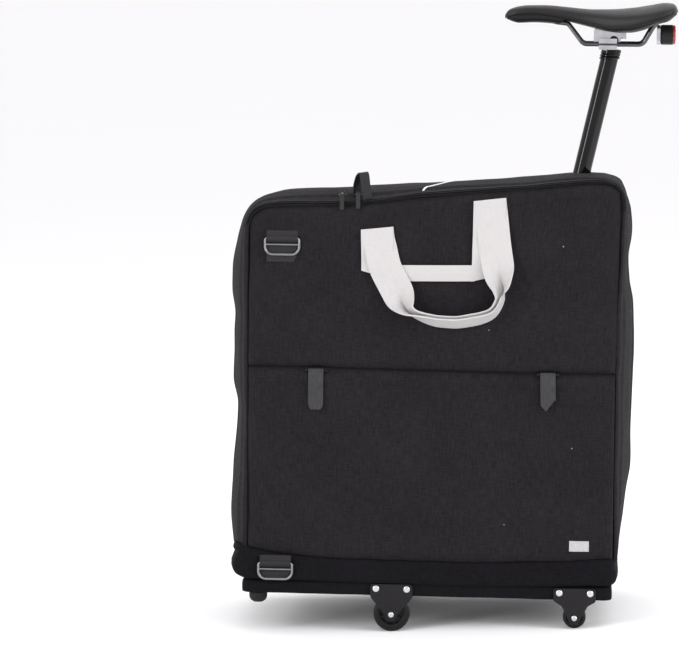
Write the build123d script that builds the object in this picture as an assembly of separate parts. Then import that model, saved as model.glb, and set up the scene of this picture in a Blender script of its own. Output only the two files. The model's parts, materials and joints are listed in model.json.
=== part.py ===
"""Folding bicycle, folded and packed in its wheeled travel bag, with the saddle standing out of the top.

Bag axes, used by every function below: X along the bag (saddle nose towards -X), Y through its depth
(handle side towards -Y), Z up from the underside of the base board. `standing` then leans the bag onto its
four castors and puts the origin on the floor under the middle of the whole object. Millimetres.
"""
from build123d import *
from math import acos, asin, atan2, cos, degrees, hypot, pi, radians, sin
import os

# ---------------------------------------------------------------- driving dimensions
SEAM_GAP = 0.3           # between neighbouring pieces that are sewn or rest on each other
RUN_GAP = 0.5            # between pieces that turn or slide past each other

BASE_LENGTH = 580.0
BAG_DEPTH = 300.0
BASE_THICK = 20.0
BASE_CORNER = 8.0
BAND_HEIGHT = 48.0
BAND_BULGE = 5.0
PANEL_LENGTH = 568.0
PANEL_THICK = 8.0
LOWER_PANEL_HEIGHT = 293.0
UPPER_PANEL_HEIGHT = 289.0
TOP_SAG = 43.0           # how much lower the top stands at the nose end
CORNER_RADIUS = 34.0
SIDE_BULGE = 22.0
TOP_BULGE = 8.0
GUSSET_THICK = 3.0

ZIP_WIDTH = 7.0
ZIP_HEIGHT = 2.4
ZIP_INSET = 9.0          # from the panel face back to the middle of the zip
SLIDER_SPOTS = (-136.0, -111.0)
SLIDER_LENGTH = 12.0

CUFF_THICK = 7.0         # elastic cuff round the post, from the post outwards
CUFF_GAP = 0.6

WEBBING = 50.0
WEBBING_THICK = 3.0
HANDLE_SPOTS = (-74.0, 98.0)     # middles of the two handle ends
HANDLE_TOPS = (578.0, 625.0)
HANDLE_DROP = 426.0              # height of the lowest edge of the loop
HANDLE_GRIP = 24.0               # the loop is folded to this height along its bottom
ANCHOR_BAR_Z = 522.0
HANDLE_STAND = 5.0               # the loop hangs this far off the sewn webbing

RING_WIRE = 4.0
RING_WIDTH = 57.0
RING_HEIGHT = 29.0
RING_BAR_DROP = 9.5
RING_SPOTS = ((-229.0, 560.0), (-236.0, 50.0))
TAB_HEIGHT = 41.0

PATCH_SPOT = (237.0, BASE_THICK + BAND_HEIGHT + 20.0)

STRAP_WIDTH = 25.0
STRAP_SPOTS = (-175.0, 185.0)
STRAP_LENGTHS = (61.0, 57.0)
KEEPER_DROP = 6.0

CENTRE_WHEEL_DIA = 57.0
CENTRE_WHEEL_WIDTH = 20.0
CENTRE_WHEEL_X = -54.0
CENTRE_AXLE_DROP = 29.0          # axle below the underside of the board
END_WHEEL_DIA = 36.0
END_WHEEL_WIDTH = 18.0
END_WHEEL_X = 232.0
END_AXLE_DROP = 27.5
AXLE_DIA = 6.0
CHEEK_THICK = 2.5
SCREW_SPACING = 48.0
SCREW_HEAD_DIA = 11.4
SCREW_UP = 12.0
FOOT_X = -265.0
FOOT_DIA = 29.0
FOOT_HEIGHT = 17.0

FRAME_Y = -35.0                  # plane of the seat tube and rear wheel
POST_AT_TOP = (230.0, 655.0)     # where the post axis meets the top of the bag
POST_LEAN = 12.5
POST_DIA = 27.2
POST_LENGTH = 475.0
RAIL_LIFT = 211.0                # saddle rails above the bag's top, along the post
POST_TOP_DROP = 17.0             # top of the full-width post below the rails
SEAT_TUBE_DIA = 35.0
SEAT_TUBE_TOP_Z = 590.0
SEAT_TUBE_BOTTOM_Z = 395.0
POST_FIT = 0.05
SADDLE_TAIL = 99.0
SADDLE_HALF_WIDTH = 72.0
RAIL_DIA = 7.0
RAIL_SPACING = 44.0
TILT_PIN_Z = 6.0                 # saddle's tilting axis above the rails
LAMP_DIA = 31.0
LAMP_CASE = 19.0
LAMP_X = 73.5                    # front of the lamp's case behind the post's axis
LAMP_Z = 15.0

CRANK_AXIS = (140.0, 420.0)
CRANK_LENGTH = 170.0
CRANK_HEADING = 58.0             # right crank, degrees above +X
CHAINRING_Y = 12.0
CHAINRING_RADIUS = 84.0
SPROCKET_RADIUS = 29.0
CHAIN_THICK = 7.0
TYRE_RADIUS = 204.0
TYRE_WIDTH = 34.0
TYRE_LIFT = 0.6                  # tyres stand this clear of the board
RIM_OUTER = 176.0
RIM_INNER = 162.0
RIM_WIDTH = 24.0
AXLE_Z = BASE_THICK + TYRE_LIFT + TYRE_RADIUS
REAR_AXLE = (-92.0, AXLE_Z)
REAR_DROPOUT_HALF = 60.0
FRONT_AXLE = (90.0, AXLE_Z)
FRONT_WHEEL_Y = 63.0
FRONT_DROPOUT_HALF = 34.0
WHEEL_AXLE_DIA = 10.0
DROPOUT_REACH = 14.0             # from the axle to the end of each stay or blade
SPOKES = 20
PIVOT = (118.0, 372.0)
HINGE_X = -172.0
HINGE_Y = -11.0
MAIN_TUBE_Z = 490.0
MAIN_TUBE_DIA = 38.0
CROWN = (28.0, 455.0)
HEAD_TUBE_LENGTH = 90.0
HEAD_TUBE_DIA = 36.0
STEERER_DIA = 25.4
STEM_Y = 118.0
BAR_Z = 192.0
BAR_LENGTH = 510.0
BAR_DIA = 25.4
GRIP_DIA = 31.0
GRIP_LENGTH = 118.0
PEDAL_LENGTH = 70.0
PEDAL_THICK = 26.0
PEDAL_WIDTH = 74.0

# ---------------------------------------------------------------- places worked out from them
FRONT = -BAG_DEPTH / 2
BACK = BAG_DEPTH / 2
BAND_TOP = BASE_THICK + BAND_HEIGHT
MID_SEAM = BAND_TOP + LOWER_PANEL_HEIGHT
TOP_RIGHT = MID_SEAM + UPPER_PANEL_HEIGHT
TOP_LEFT = TOP_RIGHT - TOP_SAG
HALF_PANEL = PANEL_LENGTH / 2
SIDE_X = HALF_PANEL + SEAM_GAP
TOP_SLOPE = degrees(atan2(TOP_SAG, PANEL_LENGTH))
POST_DIR = Vector(sin(radians(POST_LEAN)), 0, cos(radians(POST_LEAN)))
POST_BASE = Vector(POST_AT_TOP[0], FRAME_Y, POST_AT_TOP[1])
RAIL_CENTRE = POST_BASE + POST_DIR * RAIL_LIFT
POST_TOP = RAIL_LIFT - POST_TOP_DROP
LEFT_CRANK_Y = FRAME_Y - REAR_DROPOUT_HALF - 5
RIGHT_CRANK_Y = CHAINRING_Y + 11


def on_post(distance):
    """A point on the seat post's axis, measured up from where it meets the top of the bag."""
    return POST_BASE + POST_DIR * distance


def on_post_at_height(z):
    return on_post((z - POST_AT_TOP[1]) / POST_DIR.Z)


# ---------------------------------------------------------------- shape helpers
STANDING = (Align.CENTER, Align.CENTER, Align.MIN)      # middled on its axes, standing on the plane


def rod(start, end, radius):
    start, end = Vector(start), Vector(end)
    way = end - start
    foot = Plane(origin=start, z_dir=way)
    return foot * Cylinder(radius, way.length, align=STANDING)


def tube(start, end, outer, inner):
    return rod(start, end, outer) - rod(start, end, inner)


def disc(x, z, y_low, y_high, radius, hole=0.0):
    """A disc whose axis runs through the bag's depth, with an optional hole."""
    body = rod((x, y_low, z), (x, y_high, z), radius)
    return body - rod((x, y_low - 1, z), (x, y_high + 1, z), hole) if hole else body


def slab(outline, y_low, y_high, radii=0.0):
    """An upright plate: an XZ outline, its corners rounded, from y_low back to y_high."""
    line = FilletPolyline(*outline, radius=radii, close=True) if radii else Polyline(*outline, close=True)
    face = make_face(Plane(origin=(0, y_low, 0), x_dir=(1, 0, 0), z_dir=(0, -1, 0)) * line)
    return extrude(face, amount=y_high - y_low, dir=(0, 1, 0))


def brick(low, high):
    size = [high[i] - low[i] for i in range(3)]
    return Pos(*low) * Box(*size, align=Align.MIN)


def bent_rod(points, radius, bend):
    """Round wire along straight runs joined by tangent arcs."""
    path = FilletPolyline(*points, radius=bend)
    start = Plane(origin=path @ 0, z_dir=path % 0)
    return sweep(start * Circle(radius), path=path)


def fuse(shapes):
    first, *rest = shapes
    for shape in rest:
        first = first + shape
    return first


# ---------------------------------------------------------------- the bag's walls
def base_board():
    body = Pos(0, 0, BASE_THICK / 2) * Box(BASE_LENGTH, BAG_DEPTH, BASE_THICK)
    return fillet(body.edges().filter_by(Axis.Z), BASE_CORNER)


def bottom_band():
    """Padded skirt between the base board and the panels, a ring open in the middle."""
    length, depth = BASE_LENGTH + 2 * BAND_BULGE, BAG_DEPTH + 2 * BAND_BULGE
    low, height = BASE_THICK + SEAM_GAP, BAND_HEIGHT - 2 * SEAM_GAP
    outside = Pos(0, 0, low + height / 2) * Box(length, depth, height)
    outside = fillet(outside.edges().filter_by(Axis.Z), BASE_CORNER + BAND_BULGE)
    wall = PANEL_THICK + BAND_BULGE
    return outside - Pos(0, 0, low + height / 2) * Box(length - 2 * wall, depth - 2 * wall, height + 2)


def top_height(x):
    """Height of the panels' sloping top edge."""
    return TOP_LEFT + TOP_SAG * (x + HALF_PANEL) / PANEL_LENGTH


def lower_panel(y_low):
    return slab([(-HALF_PANEL, BAND_TOP), (HALF_PANEL, BAND_TOP), (HALF_PANEL, MID_SEAM - SEAM_GAP),
                 (-HALF_PANEL, MID_SEAM - SEAM_GAP)], y_low, y_low + PANEL_THICK)


def upper_panel(y_low):
    corners = [(-HALF_PANEL, MID_SEAM + SEAM_GAP), (-HALF_PANEL, TOP_LEFT), (HALF_PANEL, TOP_RIGHT),
               (HALF_PANEL, MID_SEAM + SEAM_GAP)]
    return slab(corners, y_low, y_low + PANEL_THICK, [1.0, CORNER_RADIUS, CORNER_RADIUS, 1.0])


def gusset_line(offset=0.0):
    """Up the left side, over the sloping top and down the right, offset outwards."""
    x, lift = SIDE_X + offset, SEAM_GAP + offset
    points = [(-x, 0, BAND_TOP), (-x, 0, TOP_LEFT + lift), (x, 0, TOP_RIGHT + lift), (x, 0, BAND_TOP)]
    return FilletPolyline(*points, radius=CORNER_RADIUS + offset).edges()


def gusset_section(bulge):
    """Crescent across the bag's depth, drawn with +X outwards and Y through the depth."""
    outer = ThreePointArc((GUSSET_THICK, FRONT), (GUSSET_THICK + bulge, 0), (GUSSET_THICK, BACK))
    inner = ThreePointArc((0, BACK), (bulge, 0), (0, FRONT))
    ends = [Line((GUSSET_THICK, BACK), (0, BACK)), Line((0, FRONT), (GUSSET_THICK, FRONT))]
    return make_face([outer, ends[0], inner, ends[1]])


def side_gusset(side):
    """Bulging end wall: side is -1 at the nose end and 1 at the saddle's tail end."""
    edges = gusset_line()
    edge = edges[0] if side < 0 else edges[-1]
    top = max((edge @ 0).Z, (edge @ 1).Z) - SEAM_GAP
    section = Plane(origin=(side * SIDE_X, 0, BAND_TOP), x_dir=(side, 0, 0), z_dir=(0, 0, side)) * \
        gusset_section(SIDE_BULGE)
    return extrude(section, amount=top - BAND_TOP, dir=(0, 0, 1))


def over_the_top(section_face, offset=0.0):
    """Sweeps a section, drawn with +X outwards and +Y towards the front, round both top corners."""
    path = Wire(gusset_line(offset)[1:4])
    start = Plane(origin=path @ 0, x_dir=(-1, 0, 0), z_dir=path % 0)
    return sweep(start * section_face, path=path)


def post_opening(radius):
    return rod(on_post(-60), on_post(60), radius)


def top_gusset():
    return over_the_top(gusset_section(TOP_BULGE)) - post_opening(POST_DIA / 2 + CUFF_THICK + SEAM_GAP)


def post_collar():
    """Elastic cuff sewn into the top gusset round the seat post."""
    return tube(on_post(-14), on_post(14), POST_DIA / 2 + CUFF_THICK, POST_DIA / 2 + CUFF_GAP)


def zip_chain():
    """Coil zip round the front edge of the top gusset."""
    clear = GUSSET_THICK + 1.4
    face = Pos(clear + ZIP_HEIGHT / 2, BACK - ZIP_INSET) * Rectangle(ZIP_HEIGHT, ZIP_WIDTH)
    return over_the_top(face)


def on_top_edge(x, lift, y):
    """A plane on the sloping top edge: X along the edge, Z square to it."""
    along = (cos(radians(TOP_SLOPE)), 0, sin(radians(TOP_SLOPE)))
    square = Vector(-sin(radians(TOP_SLOPE)), 0, cos(radians(TOP_SLOPE)))
    return Plane(origin=Vector(x, y, top_height(x)) + square * lift, x_dir=along, z_dir=square)


ZIP_TOP = SEAM_GAP + GUSSET_THICK + 1.4 + ZIP_HEIGHT
PULL_PIN = 0.8          # radius of the pin that a zip pull turns on
PIVOT_UP = 1.3          # the pin's height above the slider's body


def zip_slider(x):
    """Slider body over the zip, with the two cheeks that carry its pull's pin."""
    seat = on_top_edge(x, ZIP_TOP + RUN_GAP, FRONT + ZIP_INSET)
    body = fillet(Box(SLIDER_LENGTH, 9, 3, align=STANDING).edges().filter_by(Axis.Z), 2)
    cheeks = Box(8, 3, 3.6, align=STANDING) - Box(4.4, 4, 4, align=STANDING)
    pin_hole = Pos(0, 0, PIVOT_UP) * Rot(Y=90) * Cylinder(PULL_PIN + 0.35, 10)
    return seat * (body + Pos(0, 0, 3) * (cheeks - pin_hole))


def pull_pivot(x):
    """Where a pull turns in its slider's cheeks."""
    seat = on_top_edge(x, ZIP_TOP + RUN_GAP + 3 + PIVOT_UP, FRONT + ZIP_INSET)
    return seat.origin


def zip_pull(x):
    """Flat pull hanging forward over the edge of the front panel."""
    pivot = pull_pivot(x)
    reach = ZIP_INSET + 4.5
    eye = rod(pivot - Vector(3, 0, 0), pivot + Vector(3, 0, 0), PULL_PIN)
    arm = brick((pivot.X - 1.6, pivot.Y - reach, pivot.Z - 0.8), (pivot.X + 1.6, pivot.Y, pivot.Z + 0.8))
    front = pivot.Y - reach
    drop = brick((pivot.X - 3.2, front - 0.8, pivot.Z - 24), (pivot.X + 3.2, front + 0.8, pivot.Z + 0.8))
    return eye + arm + fillet(drop.edges().filter_by(Axis.Y), 1.5)


def zip_garage_loop():
    """Loop of narrow webbing standing on the gusset behind the sliders, to hold while zipping."""
    seat = on_top_edge(SLIDER_SPOTS[1] + 6, SEAM_GAP + GUSSET_THICK + 3.5, FRONT + 26)
    outside = fillet(Box(26, 16, 30, align=STANDING).edges().filter_by(Axis.Y), 6)
    inside = fillet(Box(22, 20, 26, align=STANDING).edges().filter_by(Axis.Y), 4)
    return seat * (outside - Pos(0, 0, 2) * inside)


def reflective_piping():
    """Bright piping across the front half of the top gusset, set at a slant and following its crown."""
    rise = GUSSET_THICK + SEAM_GAP
    outer = ThreePointArc((rise + 2, FRONT), (rise + 2 + TOP_BULGE, 0), (rise + 2, BACK))
    inner = ThreePointArc((rise, BACK), (rise + TOP_BULGE, 0), (rise, FRONT))
    ends = [Line((rise + 2, BACK), (rise, BACK)), Line((rise, FRONT), (rise + 2, FRONT))]
    skin = over_the_top(make_face([outer, ends[0], inner, ends[1]]))
    seat = on_top_edge(22, 0, FRONT + 62)
    return skin & (seat * Rot(Z=60) * Box(100, 4, 60))


# ---------------------------------------------------------------- handles, rings and straps
def handle_face(side):
    """Outer face of the panel that the handle is sewn to, and the way outwards."""
    return (FRONT, -1) if side < 0 else (BACK, 1)


def layer(side, outline, near, far, radii=0.0):
    """A slab between two distances off the front (side -1) or back (side 1) panel."""
    face, out = handle_face(side)
    low, high = sorted((face + out * near, face + out * far))
    return slab(outline, low, high, radii)


def handle_slope():
    """Rise of the line through the tops of the two legs."""
    return (HANDLE_TOPS[1] - HANDLE_TOPS[0]) / (HANDLE_SPOTS[1] - HANDLE_SPOTS[0])


def handle_anchor(side):
    """Webbing sewn to the panel: two legs joined by a bar between them."""
    half = WEBBING / 2
    (left, right), (top_l, top_r) = HANDLE_SPOTS, HANDLE_TOPS
    low, high = ANCHOR_BAR_Z - 27, ANCHOR_BAR_Z
    tip = half * handle_slope()
    left_top = [(left - half, top_l - tip), (left + half, top_l + tip)]
    right_top = [(right - half, top_r - tip), (right + half, top_r + tip)]
    outline = left_top + [(left + half, high), (right - half, high)] + right_top
    outline = outline + [(right + half, low), (left - half, low)]
    return layer(side, outline, SEAM_GAP, SEAM_GAP + WEBBING_THICK)


def handle_loop(side):
    """The loop that hangs from the tops of the two legs, open in the middle for a hand."""
    half, near = WEBBING / 2, SEAM_GAP + WEBBING_THICK + HANDLE_STAND
    (left, right), (top_l, top_r) = HANDLE_SPOTS, HANDLE_TOPS
    low = HANDLE_DROP
    tip = half * handle_slope()
    outer = [(left - half, top_l - tip), (left - half + 6, low + 90), (left + 38, low + 12),
             (right - 66, low), (right - 8, low + 22), (right + half + 14, low + 96),
             (right + half, top_r + tip)]
    inner = [(right - half, top_r - tip), (right - 10, low + 80), (right - 32, low + HANDLE_GRIP + 16),
             (right - 76, low + HANDLE_GRIP), (left + 58, low + HANDLE_GRIP + 10), (left + 46, low + 66),
             (left + half, top_l + tip)]
    body = layer(side, outer + inner, near, near + WEBBING_THICK)
    for x, top in zip(HANDLE_SPOTS, HANDLE_TOPS):
        low_edge = top - tip - 8
        corners = [(x - half, top - tip), (x + half, top + tip), (x + half, low_edge), (x - half, low_edge)]
        body = body + layer(side, corners, SEAM_GAP + WEBBING_THICK + SEAM_GAP, near + WEBBING_THICK)
    return body


def handle_pivot(side):
    """The middle of the line joining the two places where the loop is sewn."""
    face, out = handle_face(side)
    y = face + out * (SEAM_GAP + WEBBING_THICK + SEAM_GAP)
    return Vector((HANDLE_SPOTS[0] + HANDLE_SPOTS[1]) / 2, y, (HANDLE_TOPS[0] + HANDLE_TOPS[1]) / 2)


def band_face(z):
    """How far the front stands out at a height: the bottom band bulges past the panels."""
    return FRONT - (BAND_BULGE if z < BAND_TOP else 0)


def ring_pivot(spot):
    x, z = spot
    return Vector(x, band_face(z) - SEAM_GAP - 1.5 - RING_WIRE / 2 - RUN_GAP, z)


def strap_ring(spot):
    """Shoulder strap ring: round wire bent to a D, with a bar across it for the webbing."""
    centre = ring_pivot(spot)
    half, drop, bend = RING_WIDTH / 2 - RING_WIRE / 2, RING_HEIGHT - RING_WIRE, 12.0
    corners = [(-half, 0), (half, 0), (half, -drop), (-half, -drop)]
    wires = [rod((half - 4, 0, 0), (-half + 4, 0, 0), RING_WIRE / 2),
             rod((half, 0, -4), (half, 0, -drop + bend), RING_WIRE / 2),
             rod((-half, 0, -4), (-half, 0, -drop + bend), RING_WIRE / 2),
             rod((half - bend, 0, -drop), (-half + bend, 0, -drop), RING_WIRE / 2),
             rod((half, 0, -RING_BAR_DROP), (-half, 0, -RING_BAR_DROP), RING_WIRE / 2 - 0.6)]
    for (x, z), radius in zip(corners, (4.0, 4.0, bend, bend)):
        inward_x, inward_z = (-1 if x > 0 else 1), (-1 if z > -1 else 1)
        hub = Vector(x + inward_x * radius, 0, z + inward_z * radius)
        start, end = hub - Vector(inward_x * radius, 0, 0), hub - Vector(0, 0, inward_z * radius)
        middle = hub - Vector(inward_x, 0, inward_z).normalized() * radius
        arc = ThreePointArc(start, middle, end)
        wires.append(sweep(Plane(origin=arc @ 0, z_dir=arc % 0) * Circle(RING_WIRE / 2), path=arc))
    return Pos(*centre) * fuse(wires)


def ring_tab(spot):
    """Webbing sewn to the bag and turned round the top wire of the ring."""
    x, z = spot
    face = band_face(z)
    half = WEBBING / 2 - 3
    wire = ring_pivot(spot)
    reach = RING_WIRE / 2 + RUN_GAP
    low = max(z - TAB_HEIGHT, BASE_THICK + 4)
    flat = brick((x - half, face - SEAM_GAP - 1.2, low), (x + half, face - SEAM_GAP, z + reach + 1))
    eye = tube((x - half, wire.Y, wire.Z), (x + half, wire.Y, wire.Z), reach + 1.2, reach)
    front_half = brick((x - half - 1, wire.Y - 10, wire.Z - 10), (x + half + 1, wire.Y + 0.2, wire.Z + 10))
    top = wire.Z + reach
    bridge = brick((x - half, wire.Y, top), (x + half, face - SEAM_GAP - 0.6, top + 1.2))
    return flat + (eye & front_half) + bridge


def keeper_pivot(x):
    return Vector(x, FRONT - SEAM_GAP - 1.6 - 1.2, MID_SEAM - KEEPER_DROP)


def strap_keeper(x):
    """Flat plastic loop sewn over the middle seam."""
    centre = keeper_pivot(x)
    half = STRAP_WIDTH / 2 + 3
    made = [rod((x - half, centre.Y, centre.Z), (x + half, centre.Y, centre.Z), 1.2)]
    for end in (x - half, x + half):
        low = (end - 1.5, centre.Y - 1.5, centre.Z - 1.5)
        made.append(brick(low, (end + 1.5, FRONT - SEAM_GAP, centre.Z + 1.5)))
    return fuse(made)


def strap_tail(x, length, pointed):
    """Webbing tail hanging from its keeper, rounded or cut to a point."""
    centre = keeper_pivot(x)
    half, near = STRAP_WIDTH / 2, 1.2 + RUN_GAP
    low = centre.Z - length
    if pointed:
        outline = [(x - half, centre.Z), (x + half, centre.Z), (x + half, low + 16), (x - half + 5, low),
                   (x - half, low + 4)]
        flat = slab(outline, centre.Y - near - 1.8, centre.Y - near)
    else:
        outline = [(x - half, centre.Z), (x + half, centre.Z), (x + half, low), (x - half, low)]
        flat = slab(outline, centre.Y - near - 1.8, centre.Y - near, [0.4, 0.4, 9.0, 9.0])
    roll = tube((x - half, centre.Y, centre.Z), (x + half, centre.Y, centre.Z), near + 1.8, near)
    keep = brick((x - half - 1, centre.Y - 10, centre.Z), (x + half + 1, centre.Y + 1.2, centre.Z + 10))
    return flat + (roll & keep)


def name_patch():
    """Small blank woven patch low on the front panel."""
    x, z = PATCH_SPOT
    corners = [(x - 15, z - 9), (x + 15, z - 9), (x + 15, z + 9), (x - 15, z + 9)]
    return layer(-1, corners, SEAM_GAP, SEAM_GAP + 0.8, 1.0)


# ---------------------------------------------------------------- castors and feet
CASTORS = {
    "centre": dict(x=CENTRE_WHEEL_X, drop=CENTRE_AXLE_DROP, dia=CENTRE_WHEEL_DIA, width=CENTRE_WHEEL_WIDTH,
                   half=33.0, waist=27.0, boss=10.0),
    "end": dict(x=END_WHEEL_X, drop=END_AXLE_DROP, dia=END_WHEEL_DIA, width=END_WHEEL_WIDTH,
                half=33.0, waist=20.0, boss=11.0),
}


def across(side, near, far):
    """Two depths measured inwards from the base board's front (side -1) or back (side 1) face."""
    face, inward = (FRONT - SEAM_GAP, 1) if side < 0 else (BACK + SEAM_GAP, -1)
    return sorted((face + inward * near, face + inward * far))


def cheek_outline(kind):
    """A plate with two screw ears that narrows to a boss round the axle."""
    c = CASTORS[kind]
    half, boss, waist = c["half"], c["boss"], c["waist"]
    right = [(half, 19), (half, -1), (waist, -9), (boss, -c["drop"]), (boss * 0.6, -c["drop"] - boss)]
    left = [(-x, z) for x, z in reversed(right)]
    return left[-1:] + right + left[:-1]


def castor_bracket(kind, side):
    """Folded steel bracket: an outer cheek screwed to the board's edge, a web under it and an inner cheek."""
    c = CASTORS[kind]
    x, drop, boss, waist = c["x"], c["drop"], c["boss"], c["waist"]
    corners = [(x + a, b) for a, b in cheek_outline(kind)]
    outer = slab(corners, *across(side, -CHEEK_THICK, 0), [5, 5, 5, 4, 6, 4, 4, 6, 4, 5])
    depth = c["width"] + 2 * 2.5 + CHEEK_THICK
    web_low, web_high = across(side, -CHEEK_THICK / 2, depth)
    web = brick((x - waist, web_low, -SEAM_GAP - CHEEK_THICK), (x + waist, web_high, -SEAM_GAP))
    inner_outline = [(x - waist, -SEAM_GAP), (x + waist, -SEAM_GAP), (x + boss, -drop - boss * 0.4),
                     (x + boss * 0.6, -drop - boss), (x - boss * 0.6, -drop - boss),
                     (x - boss, -drop - boss * 0.4)]
    inner = slab(inner_outline, *across(side, depth - CHEEK_THICK, depth), [0.5, 0.5, 4, 4, 4, 4])
    body = outer + web + inner
    low, high = across(side, 1, c["width"] + 4)
    body = body - disc(x, -drop, low, high, c["dia"] / 2 + 1.5)
    low, high = across(side, -CHEEK_THICK - 1, depth + 1)
    body = body - rod((x, low, -drop), (x, high, -drop), AXLE_DIA / 2 + 0.02)
    for ear in (-1, 1):
        at = x + ear * SCREW_SPACING / 2
        body = body - rod((at, low, SCREW_UP), (at, high, SCREW_UP), 2.7)
    return body


def castor_axle(kind, side):
    """Bolt through both cheeks, domed outside and nutted inside."""
    c = CASTORS[kind]
    x, z = c["x"], -c["drop"]
    depth = c["width"] + 2 * 2.5 + CHEEK_THICK
    low, high = across(side, -CHEEK_THICK - SEAM_GAP, depth + 6)
    out_low, out_high = across(side, -CHEEK_THICK - SEAM_GAP - 3.2, -CHEEK_THICK - SEAM_GAP)
    nut_low, nut_high = across(side, depth + SEAM_GAP, depth + 5)
    head = disc(x, z, out_low, out_high, 4.8)
    rim = head.faces().sort_by(Axis.Y)[0 if side < 0 else -1].edges()
    nut = Pos(x, nut_low, z) * Rot(X=-90) * extrude(RegularPolygon(5.0, 6), amount=nut_high - nut_low)
    return disc(x, z, low, high, AXLE_DIA / 2) + fillet(rim, 2.6) + nut


def castor_hub(kind, side):
    """Moulded wheel centre: bored boss, web with round windows, and rim."""
    c = CASTORS[kind]
    x, z, radius = c["x"], -c["drop"], c["dia"] / 2
    rim, boss = radius * 0.72, radius * 0.34
    low, high = across(side, 2.5, 2.5 + c["width"])
    middle = (low + high) / 2
    body = disc(x, z, low, high, boss) + disc(x, z, middle - 2, middle + 2, rim - 1)
    body = body + disc(x, z, low + 1.5, high - 1.5, rim, rim - 2.6)
    for turn in range(6):
        angle = radians(60 * turn + 30)
        ring = (rim + boss) / 2 - 0.8
        body = body - disc(x + ring * cos(angle), z + ring * sin(angle), low, high, (rim - boss) / 2 - 2.4)
    return body - rod((x, low - 1, z), (x, high + 1, z), AXLE_DIA / 2 + 0.06)


def castor_tyre(kind, side):
    """Soft tread ring moulded round the hub."""
    c = CASTORS[kind]
    x, z, radius = c["x"], -c["drop"], c["dia"] / 2
    low, high = across(side, 2.5, 2.5 + c["width"])
    tread = disc(x, z, low + 1, high - 1, radius)
    tread = fillet(tread.edges().filter_by(GeomType.CIRCLE), 3.2)
    return tread - disc(x, z, low - 1, high + 1, radius * 0.72 + 0.05)


def castor_screws():
    """Eight domed screws, two for each bracket."""
    heads = []
    for side in (-1, 1):
        for c in CASTORS.values():
            for ear in (-1, 1):
                x = c["x"] + ear * SCREW_SPACING / 2
                low, high = across(side, -CHEEK_THICK - SEAM_GAP - 3.0, -CHEEK_THICK - SEAM_GAP)
                head = disc(x, SCREW_UP, low, high, SCREW_HEAD_DIA / 2)
                dome = head.faces().sort_by(Axis.Y)[0 if side < 0 else -1].edges()
                shank_low, shank_high = across(side, -CHEEK_THICK - SEAM_GAP - 0.5, -SEAM_GAP)
                heads.append(fillet(dome, 2.6) + disc(x, SCREW_UP, shank_low, shank_high, 2.4))
    return heads


def feet():
    """Two round rubber stops under the nose end of the board."""
    made = []
    for side in (-1, 1):
        y = side * (BACK - FOOT_DIA / 2 - 4)
        body = rod((FOOT_X, y, -FOOT_HEIGHT), (FOOT_X, y, -SEAM_GAP), FOOT_DIA / 2)
        made.append(fillet(body.faces().sort_by(Axis.Z)[0].edges(), 11.0))
    return made


# ---------------------------------------------------------------- saddle and seat post
def seat_post():
    """Straight post with a slimmer neck that ends in the cross bar the saddle tilts on."""
    shaft = tube(on_post(POST_TOP - POST_LENGTH), on_post(POST_TOP - 6), POST_DIA / 2, POST_DIA / 2 - 1.8)
    shoulder = rod(on_post(POST_TOP - 8), on_post(POST_TOP), POST_DIA / 2)
    stub = rod(on_post(POST_TOP - 1), tilt_axis(), 7.0)
    cross_bar = rod(tilt_axis() - Vector(0, 13, 0), tilt_axis() + Vector(0, 13, 0), 7.0)
    return shaft + shoulder + stub + cross_bar


def post_rings():
    """Two knurled rings stacked on the neck under the rails."""
    return [tube(on_post(POST_TOP + 0.4), on_post(POST_TOP + 5.0), 15.2, 7.3),
            tube(on_post(POST_TOP + 5.8), on_post(POST_TOP + 10.4), 15.2, 7.3)]


def on_saddle(shape):
    """Saddle axes: origin where the post's axis crosses the rails, X back towards the tail, Z up."""
    return Pos(*RAIL_CENTRE) * shape


def tilt_axis():
    """Where the saddle's cross bar passes through the post's axis."""
    return on_post(RAIL_LIFT + TILT_PIN_Z / POST_DIR.Z)


RAIL_BENDS = [9, 12, 12, 6]


def saddle_rail_points(side):
    y = side * RAIL_SPACING / 2
    return [(-88, side * 11, 33), (-70, side * 12, 31), (-46, y, 0), (46, y, 0), (61, side * 28, 27),
            (67, side * 30, 34)]


def saddle_rails():
    """Two steel rails, from the nose socket down, level through the clamp and up to the rear sockets."""
    return [on_saddle(bent_rod(saddle_rail_points(side), RAIL_DIA / 2, RAIL_BENDS)) for side in (-1, 1)]


def saddle_clamp():
    """Cast block round the post's cross bar, with wings above and below each rail."""
    half = RAIL_SPACING / 2
    gap = RAIL_DIA / 2 + 0.02
    block = brick((-30, -half + 5.2, 0), (12, half - 5.2, 23))
    block = fillet(block.edges().filter_by(Axis.Y), 4)
    wings = []
    for side in (-1, 1):
        low, high = sorted((side * (half - 6), side * (half + 6)))
        wings.append(brick((-22, low, 1.5), (6, high, 9)))
        wings.append(brick((-22, low, -8), (6, high, -1.5)))
        low, high = sorted((side * (half - 6.5), side * (half - gap + 0.6)))
        wings.append(brick((-22, low, -8), (6, high, 9)))
    body = fuse([block] + wings)
    for side in (-1, 1):
        body = body - rod((-60, side * half, 0), (60, side * half, 0), gap)
    pin_x = tilt_axis().X - RAIL_CENTRE.X
    body = body - rod((pin_x, -half + 4, TILT_PIN_Z), (pin_x, half - 4, TILT_PIN_Z), 7.05)
    body = body - brick((-13, -9, -10), (14, 9, TILT_PIN_Z + 1.6))
    return on_saddle(body)


def clamp_bolt():
    """Upright bolt behind the clamp block that pulls its wings together."""
    head = rod((16.5, 0, 8), (16.5, 0, 24), 4.2)
    lug = brick((12.3, -5, 10), (20.5, 5, 20)) - rod((16.5, 0, 0), (16.5, 0, 30), 4.2)
    return [on_saddle(head), on_saddle(lug)]


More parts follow.
